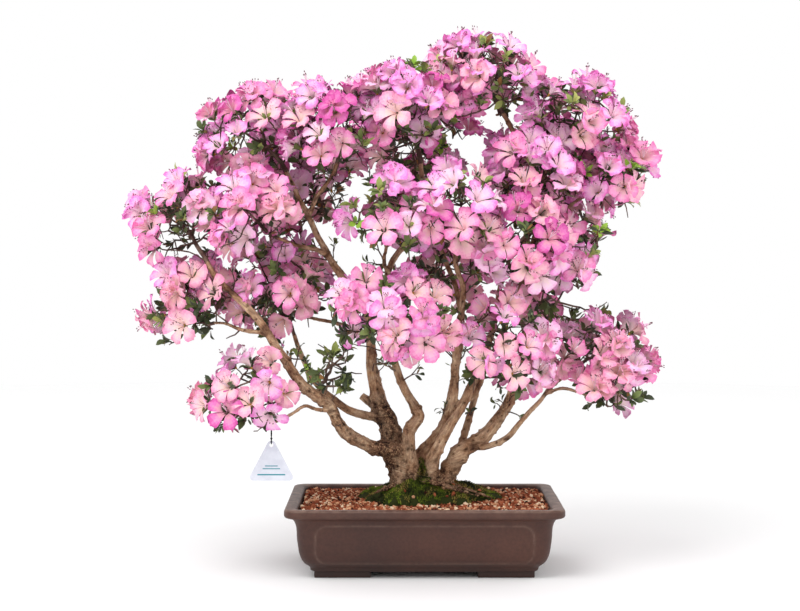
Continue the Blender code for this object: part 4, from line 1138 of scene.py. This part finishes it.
def addRosette(leaves, place, face, kind, outer, rng):
    # A whorl of leaves round a tip, with a few young lime ones on upward sprigs, and painted light: lighter green
    # tints high in the crown, darker ones under blossoms and on inner tips.
    number = rng.randint(*leaf[kind])
    base = place - face * 1.5 if kind == "bloom" else place
    young = kind == "sprig" and face.z > 0.3 and rng.random() < leaf["young"]
    # Painted light: a light share picks lighter tints for high tips and darker ones for inner tips and leaves under
    # blossoms.
    light = rng.random() * 0.6 + 0.4 * outer - 0.25 * (kind == "bloom") - 0.5 * (kind == "inner")
    if light > 0.72:
        tints = ("bright", "fresh", "fresh", "green")
    elif light > 0.4:
        tints = ("green", "deep", "deep", "fresh")
    else:
        tints = ("deep", "dark", "dark", "green")
    for k in range(number):
        away = sideways(face, k * golden + rng.uniform(-0.3, 0.3))
        out = (away + face * rng.uniform(0.1, 1.4)).normalized()
        side = out.cross(face).normalized() * -1
        up = out.cross(side).normalized()
        if up.dot(face) < 0:
            side, up = -side, -up
        size = rng.uniform(*leaf["sizes"]) * (0.75 if kind == "wild" else 1)
        held = Matrix((out, side, up)).transposed().to_4x4() @ Matrix.Rotation(rng.uniform(-0.5, 0.5), 4, "X")
        if rng.random() < leaf["bronze"]:
            tint = "bronze"
        elif young and rng.random() < leaf["lime"]:
            tint = "lime"
        else:
            tint = rng.choice(tints)
        seat = base + away * 0.8 - face * rng.uniform(0, 8) * (kind != "bloom")
        bow = rng.randrange(len(leaf["bows"]))
        leaves[bow, tint].append(Matrix.Translation(seat) @ held @ Matrix.Scale(size, 4))


def dressTips():
    rng = random.Random("dress")
    blossoms = {(tint, kind): [] for tint in tintNames for kind in kinds}
    leaves = {(bow, tint): [] for bow in range(len(leaf["bows"])) for tint in leafTints}
    buds = []
    for place, face, kind in tips:
        # Height in the crown, which sets painted light in the blossom and leaf tints.
        outer = smoothstep(330, 620, place.z)
        if kind == "bloom":
            addTruss(blossoms, place, face, outer, rng)
            if rng.random() < blossom["budded"]:
                buds.append(Matrix.Translation(place - face * 2) @ turnedTo(face, 0))
        addRosette(leaves, place, face, kind, outer, rng)
    return blossoms, leaves, buds


blossoms, leaves, buds = dressTips()
shapes = [blossomShape(kind) for kind in kinds]
for tint in tintNames:
    batches = [(shapes[kind], blossoms[tint, kind], [0] * len(blossoms[tint, kind])) for kind in kinds]
    mesh = joinedCopies("blossoms" + tint, batches)
    toPiece("blossoms" + tint, mesh, petalMaterials(tint), list(masses))
    print("stage:", tint, "blossoms,", sum(len(b[1]) for b in batches), "of them,", triangles(mesh), "triangles")

leafShapes = [leafShape(bow) for bow in leaf["bows"]]
leafSlots = {tint: k for k, tint in enumerate(leafTints)}
batches = [(leafShapes[bow], items, [leafSlots[tint]] * len(items)) for (bow, tint), items in leaves.items()]
mesh = joinedCopies("leaves", batches)
leafMaterials = [softMaterial(tint + " leaf", colour, 0.45) for tint, colour in leafTints.items()]
toPiece("leaves", mesh, leafMaterials, list(masses))
print("stage: leaves,", sum(len(b[1]) for b in batches), "of them,", triangles(mesh), "triangles")

mesh = joinedCopies("budScales", [(budShape(), buds, [0] * len(buds))])
toPiece("budScales", mesh, [softMaterial("bud scale", "b98a34", 0.6)], list(masses))
print("stage: buds")

# ---- soil: fired clay grains in browns and reds over a closed bed ----
soil = dict(half=(159.5, 109.5), corner=9, bed=82, top=84.6, pitch=3.8, size=(1.6, 3.3), rise=2.2, shapes=6,
            large=0.12, edge=0.85, stray=0.04,
            # tints of the grains, and how many of each
            tints=("a86042", "7c3f29", "d09c78", "8f4c33", "341a10", "ecd0b0"), weights=(25, 23, 18, 14, 11, 9))


def insideSoil(x, y, room):
    dx = abs(x) - soil["half"][0] + soil["corner"] + room
    dy = abs(y) - soil["half"][1] + soil["corner"] + room
    return math.hypot(max(dx, 0), max(dy, 0)) + min(max(dx, dy), 0) < soil["corner"]


def soilHeight(x, y):
    heaped = 1 - smoothstep(60, 150, math.hypot(x, y * 1.4))
    return soil["top"] + soil["rise"] * heaped + 0.9 * noise.noise(Vector((x / 24, y / 24, 5)))


# Moss: a low noisy bed with short tufts, creeping onto the roots and up the cleft between the stems.
moss = dict(half=(92, 62), high=42, rings=24, tufts=22000, onBed=0.72, tall=(1.6, 4.2), wide=0.55,
            tints=("748626", "4c5a18", "2b310f", "a3934a", "181a09", "664c2c"))


def mossEdge(turn):
    # The bed's ragged outline, as a share of its half sizes.
    waves = ((0.1, 3, 1), (0.07, 5, 0), (0.05, 9, 2), (0.03, 17, 0))
    edge = 1
    for size, count, phase in waves:
        edge += size * math.sin(count * turn + phase)
    return edge


def mossOut(x, y):
    # 0 in the middle of the moss, 1 at its edge.
    return math.hypot(x / moss["half"][0], y / moss["half"][1]) / mossEdge(math.atan2(y, x))


def mossHeight(x, y):
    out = mossOut(x, y)
    high = moss["high"] * max(0, 1 - out) ** 0.62 * (0.85 + 0.25 * noise.noise(Vector((x / 17, y / 17, 2))))
    high *= 1 - 0.5 * smoothstep(-5, 40, y)
    lumps = 0.8 * noise.noise(Vector((x / 4, y / 4, 7))) * min(1, max(0, 1 - out) * 5)
    return soilHeight(x, y) - 1.5 + high + lumps


def makeSoilBed(rng):
    bm = bmesh.new()
    bmesh.ops.create_grid(bm, x_segments=60, y_segments=42, size=1)
    wide, deep = soil["half"]
    for vert in bm.verts:
        x, y = vert.co.x * wide, vert.co.y * deep
        vert.co = Vector((x, y, soilHeight(x, y) - 2.0 + rng.uniform(-0.4, 0.4)))
    for vert in only("Vert", bmesh.ops.extrude_face_region(bm, geom=list(bm.faces))):
        vert.co.z = soil["bed"] - 3
    bmesh.ops.recalc_face_normals(bm, faces=bm.faces)
    return shapeOf(bm)


def grainShape(rng):
    bm = bmesh.new()
    bmesh.ops.create_icosphere(bm, subdivisions=1, radius=1)
    for vert in bm.verts:
        vert.co *= 1 + 0.8 * noise.noise(vert.co * 1.7 + Vector((rng.uniform(0, 9), 0, 0)))
    return shapeOf(bm)


def scatterGrains(rng):
    # Grains on a shaken grid, thin on the moss: for each shape their places and their slots.
    places, slots = [[] for k in range(soil["shapes"])], [[] for k in range(soil["shapes"])]
    across, down = [int(half / soil["pitch"]) for half in soil["half"]]
    for i in range(-across, across + 1):
        for j in range(-down, down + 1):
            x, y = (i + rng.uniform(-0.5, 0.5)) * soil["pitch"], (j + rng.uniform(-0.5, 0.5)) * soil["pitch"]
            out = mossOut(x, y) + 0.25 * noise.noise(Vector((x / 8, y / 8, 1)))
            if not insideSoil(x, y, 1.6) or out < (soil["edge"] if rng.random() < 1 - soil["stray"] else 0.5):
                continue
            size = rng.uniform(*soil["size"]) * (1.25 if rng.random() < soil["large"] else 1)
            spin, axis = rng.uniform(0, 6.28), Vector((rng.uniform(-1, 1), rng.uniform(-1, 1), 1))
            k = rng.randrange(soil["shapes"])
            ground = mossHeight(x, y) + 1.0 if out < soil["edge"] else soilHeight(x, y)
            place = Matrix.Translation((x, y, ground + rng.uniform(-1.4, 0.9)))
            place = place @ Matrix.Rotation(spin, 4, axis.normalized())
            places[k].append(place @ Matrix.Diagonal((size, size * 0.85, size * 0.75, 1)))
            slots[k].append(rng.choices(range(6), soil["weights"])[0])
    return places, slots


def gritMaterial(name, colour):
    # Fired clay, crushed and sieved: dull faces with open pores.
    values = {"Base Color": toLinear(colour), "Roughness": 0.95, "Specular IOR Level": 0.15}
    return reliefMaterial(name, values, 1500, 3, 0.6, 0.0004)


rng = random.Random("soil")
grainShapes = [grainShape(rng) for k in range(soil["shapes"])]
batches = list(zip(grainShapes, *scatterGrains(rng)))
bed = (makeSoilBed(rng), [Matrix.Identity(4)], [4])
soilMesh = joinedCopies("soilGrains", batches + [bed], smooth=False)
grit = [gritMaterial("fired clay grain " + tint, tint) for tint in soil["tints"]]
toPiece("soilGrains", soilMesh, grit, ["soil"])
print("stage: soil,", sum(len(b[1]) for b in batches), "grains")


def makeMossBed():
    # A disc of rings, raised into a mound and closed below.
    bm = bmesh.new()
    bmesh.ops.create_circle(bm, cap_ends=False, segments=110, radius=1)
    edges = list(bm.edges)
    for left in range(moss["rings"], 0, -1):
        made = bmesh.ops.extrude_edge_only(bm, edges=edges)
        edges = only("Edge", made)
        bmesh.ops.scale(bm, vec=[(left - 0.98) / (left + 0.02)] * 3, verts=only("Vert", made))
    for vert in bm.verts:
        edge = mossEdge(math.atan2(vert.co.y, vert.co.x))
        x, y = vert.co.x * moss["half"][0] * edge, vert.co.y * moss["half"][1] * edge
        vert.co = Vector((x, y, mossHeight(x, y)))
    for vert in only("Vert", bmesh.ops.extrude_edge_only(bm, edges=[e for e in bm.edges if e.is_boundary])):
        vert.co.z = soil["bed"]
    bmesh.ops.holes_fill(bm, edges=[e for e in bm.edges if e.is_boundary], sides=0)
    bmesh.ops.recalc_face_normals(bm, faces=bm.faces)
    return shapeOf(bm)


def tuftShape():
    bm = bmesh.new()
    bmesh.ops.create_cone(bm, cap_ends=False, segments=3, radius1=moss["wide"], radius2=0, depth=1,
                          matrix=Matrix.Translation((0, 0, 0.4)))
    return shapeOf(bm)


def makeMoss():
    rng = random.Random("moss")
    places, slots = [], []
    while len(places) < moss["tufts"] * moss["onBed"]:
        turn, out = rng.uniform(0, 6.28), math.sqrt(rng.random()) * 1.04
        edge = mossEdge(turn)
        x, y = math.cos(turn) * out * edge * moss["half"][0], math.sin(turn) * out * edge * moss["half"][1]
        underWood = (x / 36) ** 2 + (y / 22) ** 2 < 1
        if underWood or (out > 0.8 and noise.noise(Vector((x / 9, y / 9, 4))) < (out - 0.9) * 2):
            continue
        addTuft(places, slots, Vector((x, y, mossHeight(x, y))), Vector((x / 90, y / 90, 1)), rng)
    bark = [(v.co / metre - potMiddle, v.normal.copy()) for v in woodMesh.vertices if v.co.z < 0.15]
    while len(places) < moss["tufts"]:
        p, normal = rng.choice(bark)
        high = p.z - 88
        cleft = math.exp(-((p.x + 1) / 13) ** 2) * (p.y < 5)
        patch = noise.noise(p / 14 + Vector((0, 0, 3))) * 0.7 + 0.35 * normal.z
        if patch + 1.3 * cleft - high / (16 + 34 * cleft) > 0.12:
            addTuft(places, slots, p, normal + Vector((0, 0, 0.3)), rng)
    return joinedCopies("mossTufts", [(tuftShape(), places, slots), (makeMossBed(), [Matrix.Identity(4)], [2])])


def addTuft(places, slots, p, up, rng):
    lean = up + shake(rng, 0.5)
    tall = rng.uniform(*moss["tall"])
    held = turnedTo(lean.normalized(), rng.uniform(0, 6))
    places.append(Matrix.Translation(p) @ held @ Matrix.Diagonal((1, 1, tall, 1)))
    tone = noise.noise(p / 16 + Vector((5, 2, 0))) + rng.uniform(-0.35, 0.35)
    dry = noise.noise(p / 22 + Vector((1, 8, 3))) + 0.3 * (p.x > 25)
    dry += rng.uniform(-0.3, 0.3)
    if dry > 0.38:
        slots.append(5 if dry > 0.55 else 3)
    else:
        slots.append(0 if tone > 0.22 else 1 if tone > -0.12 else 2 if tone > -0.45 else 4)


def mossMaterial(name, colour):
    # Short damp leaves standing close together, so light is lost between them.
    values = {"Base Color": toLinear(colour), "Roughness": 0.9, "Specular IOR Level": 0.2}
    return reliefMaterial(name, values, 1100, 3, 0.7, 0.0008)


mossMesh = makeMoss()
mossMaterials = [mossMaterial("moss " + tint, tint) for tint in moss["tints"]]
toPiece("mossTufts", mossMesh, mossMaterials, ["moss_mound"])
print("stage: moss,", triangles(mossMesh), "triangles")

# ---- tag: a small three-cornered board on a thin tie, with plain ruled lines ----
tag = dict(hangsAt=0.92, below=28, above=5, halfTop=3.5, halfWide=28, high=50, thick=1.2, hole=2.6, corner=2.4,
           tie=0.65, knot=1.5, strand=0.55,
           # ruled lines: how far down from the top, half width, height
           rules=[(31.5, 8, 1.1), (35, 11, 1.1), (42.5, 17.5, 1.6)])


def tagPlace():
    way = limbWay["branch_tagged"]
    place = tag["hangsAt"] * (len(way) - 1)
    low = int(place)
    return way[low].lerp(way[low + 1], place - low), limbThick["branch_tagged"][low]


def makeTag():
    held, branch = tagPlace()
    hole = held - Vector((0, 0, tag["below"]))
    top, front = hole.z + tag["above"], hole.y - tag["thick"] / 2
    foot, half, back = top - tag["high"], tag["halfWide"], front + tag["thick"]
    bm = bmesh.new()
    outline = ((-tag["halfTop"], top), (tag["halfTop"], top), (half, foot + 4), (half - 3, foot), (3 - half, foot),
               (-half, foot + 4))
    corners = [bm.verts.new((hole.x + x, back, z)) for x, z in outline]
    bm.faces.new(corners)
    bmesh.ops.bevel(bm, geom=corners, offset=tag["corner"], segments=5, profile=0.5, affect="VERTICES", material=-1)
    place = Matrix.Translation((hole.x, back, hole.z)) @ Matrix.Rotation(math.pi / 2, 4, "X")
    bmesh.ops.create_circle(bm, segments=20, radius=tag["hole"], matrix=place)
    bmesh.ops.delete(bm, geom=list(bm.faces), context="FACES_ONLY")
    bmesh.ops.triangle_fill(bm, use_beauty=True, use_dissolve=False, edges=list(bm.edges))
    made = bmesh.ops.extrude_face_region(bm, geom=list(bm.faces))
    bmesh.ops.translate(bm, vec=(0, -tag["thick"], 0), verts=only("Vert", made))
    bmesh.ops.recalc_face_normals(bm, faces=bm.faces)
    for down, wide, tall in tag["rules"]:
        seat = Matrix.Translation((hole.x, front, top - down)) @ Matrix.Diagonal((wide * 2, 0.3, tall, 1))
        for vert in bmesh.ops.create_cube(bm, size=1, matrix=seat)["verts"]:
            for face in vert.link_faces:
                face.material_index = 1
    return bmToMesh("plantTag", bm, smooth=False)


def makeTie():
    # One loop over the branch and through the hole, its two strands lying together between.
    held, branch = tagPlace()
    hole = held - Vector((0, 0, tag["below"]))
    over, under = branch * 1.1 + tag["tie"] + 0.6, tag["thick"] / 2 + tag["tie"] + 0.4
    neck, knot = held - Vector((0, 0, branch + 5)), hole + Vector((0, 0, 8))
    apart = tag["tie"] * tag["strand"]
    across, aside = Vector((0, apart, 0)), Vector((apart, 0, 0))
    between = neck.lerp(knot, 0.5)
    turns = [(math.cos(math.pi * k / 6), math.sin(math.pi * k / 6)) for k in range(7)]
    way = [held + Vector((0, over * c, over * s)) for c, s in turns]
    way += [neck - across, between + aside, knot - across]
    way += [hole + Vector((0, -under * c, 1.2 + 1.8 * (1 - s))) for c, s in turns]
    way += [knot + across, between - aside, neck + across, way[0]]
    way = smoothWay(way, 1.5)
    bm = bmesh.new()
    bm.from_mesh(tubesMesh("strands", [(way, [tag["tie"]] * len(way))], 1))
    place = Matrix.Translation((knot + potMiddle) * metre)
    bmesh.ops.create_icosphere(bm, subdivisions=2, radius=tag["knot"] * metre, matrix=place)
    mesh = bpy.data.meshes.new("tagTie")
    bm.to_mesh(mesh)
    bm.free()
    return mesh


def boardMaterial():
    # Moulded white board, matt, with a trace of dust.
    return mottledMaterial("white plastic board", {"Roughness": 0.5}, 90, 4, [(0.35, "cfd2de"), (0.65, "dcdfe9")])


inks = [boardMaterial(), gritMaterial("teal ink", "3f8f9c")]
toPiece("plantTag", makeTag(), inks, ["plant_tag"])
toPiece("tagTie", makeTie(), [gritMaterial("black twisted thread", "17161a")], ["tag_tie"])
print("stage: tag")
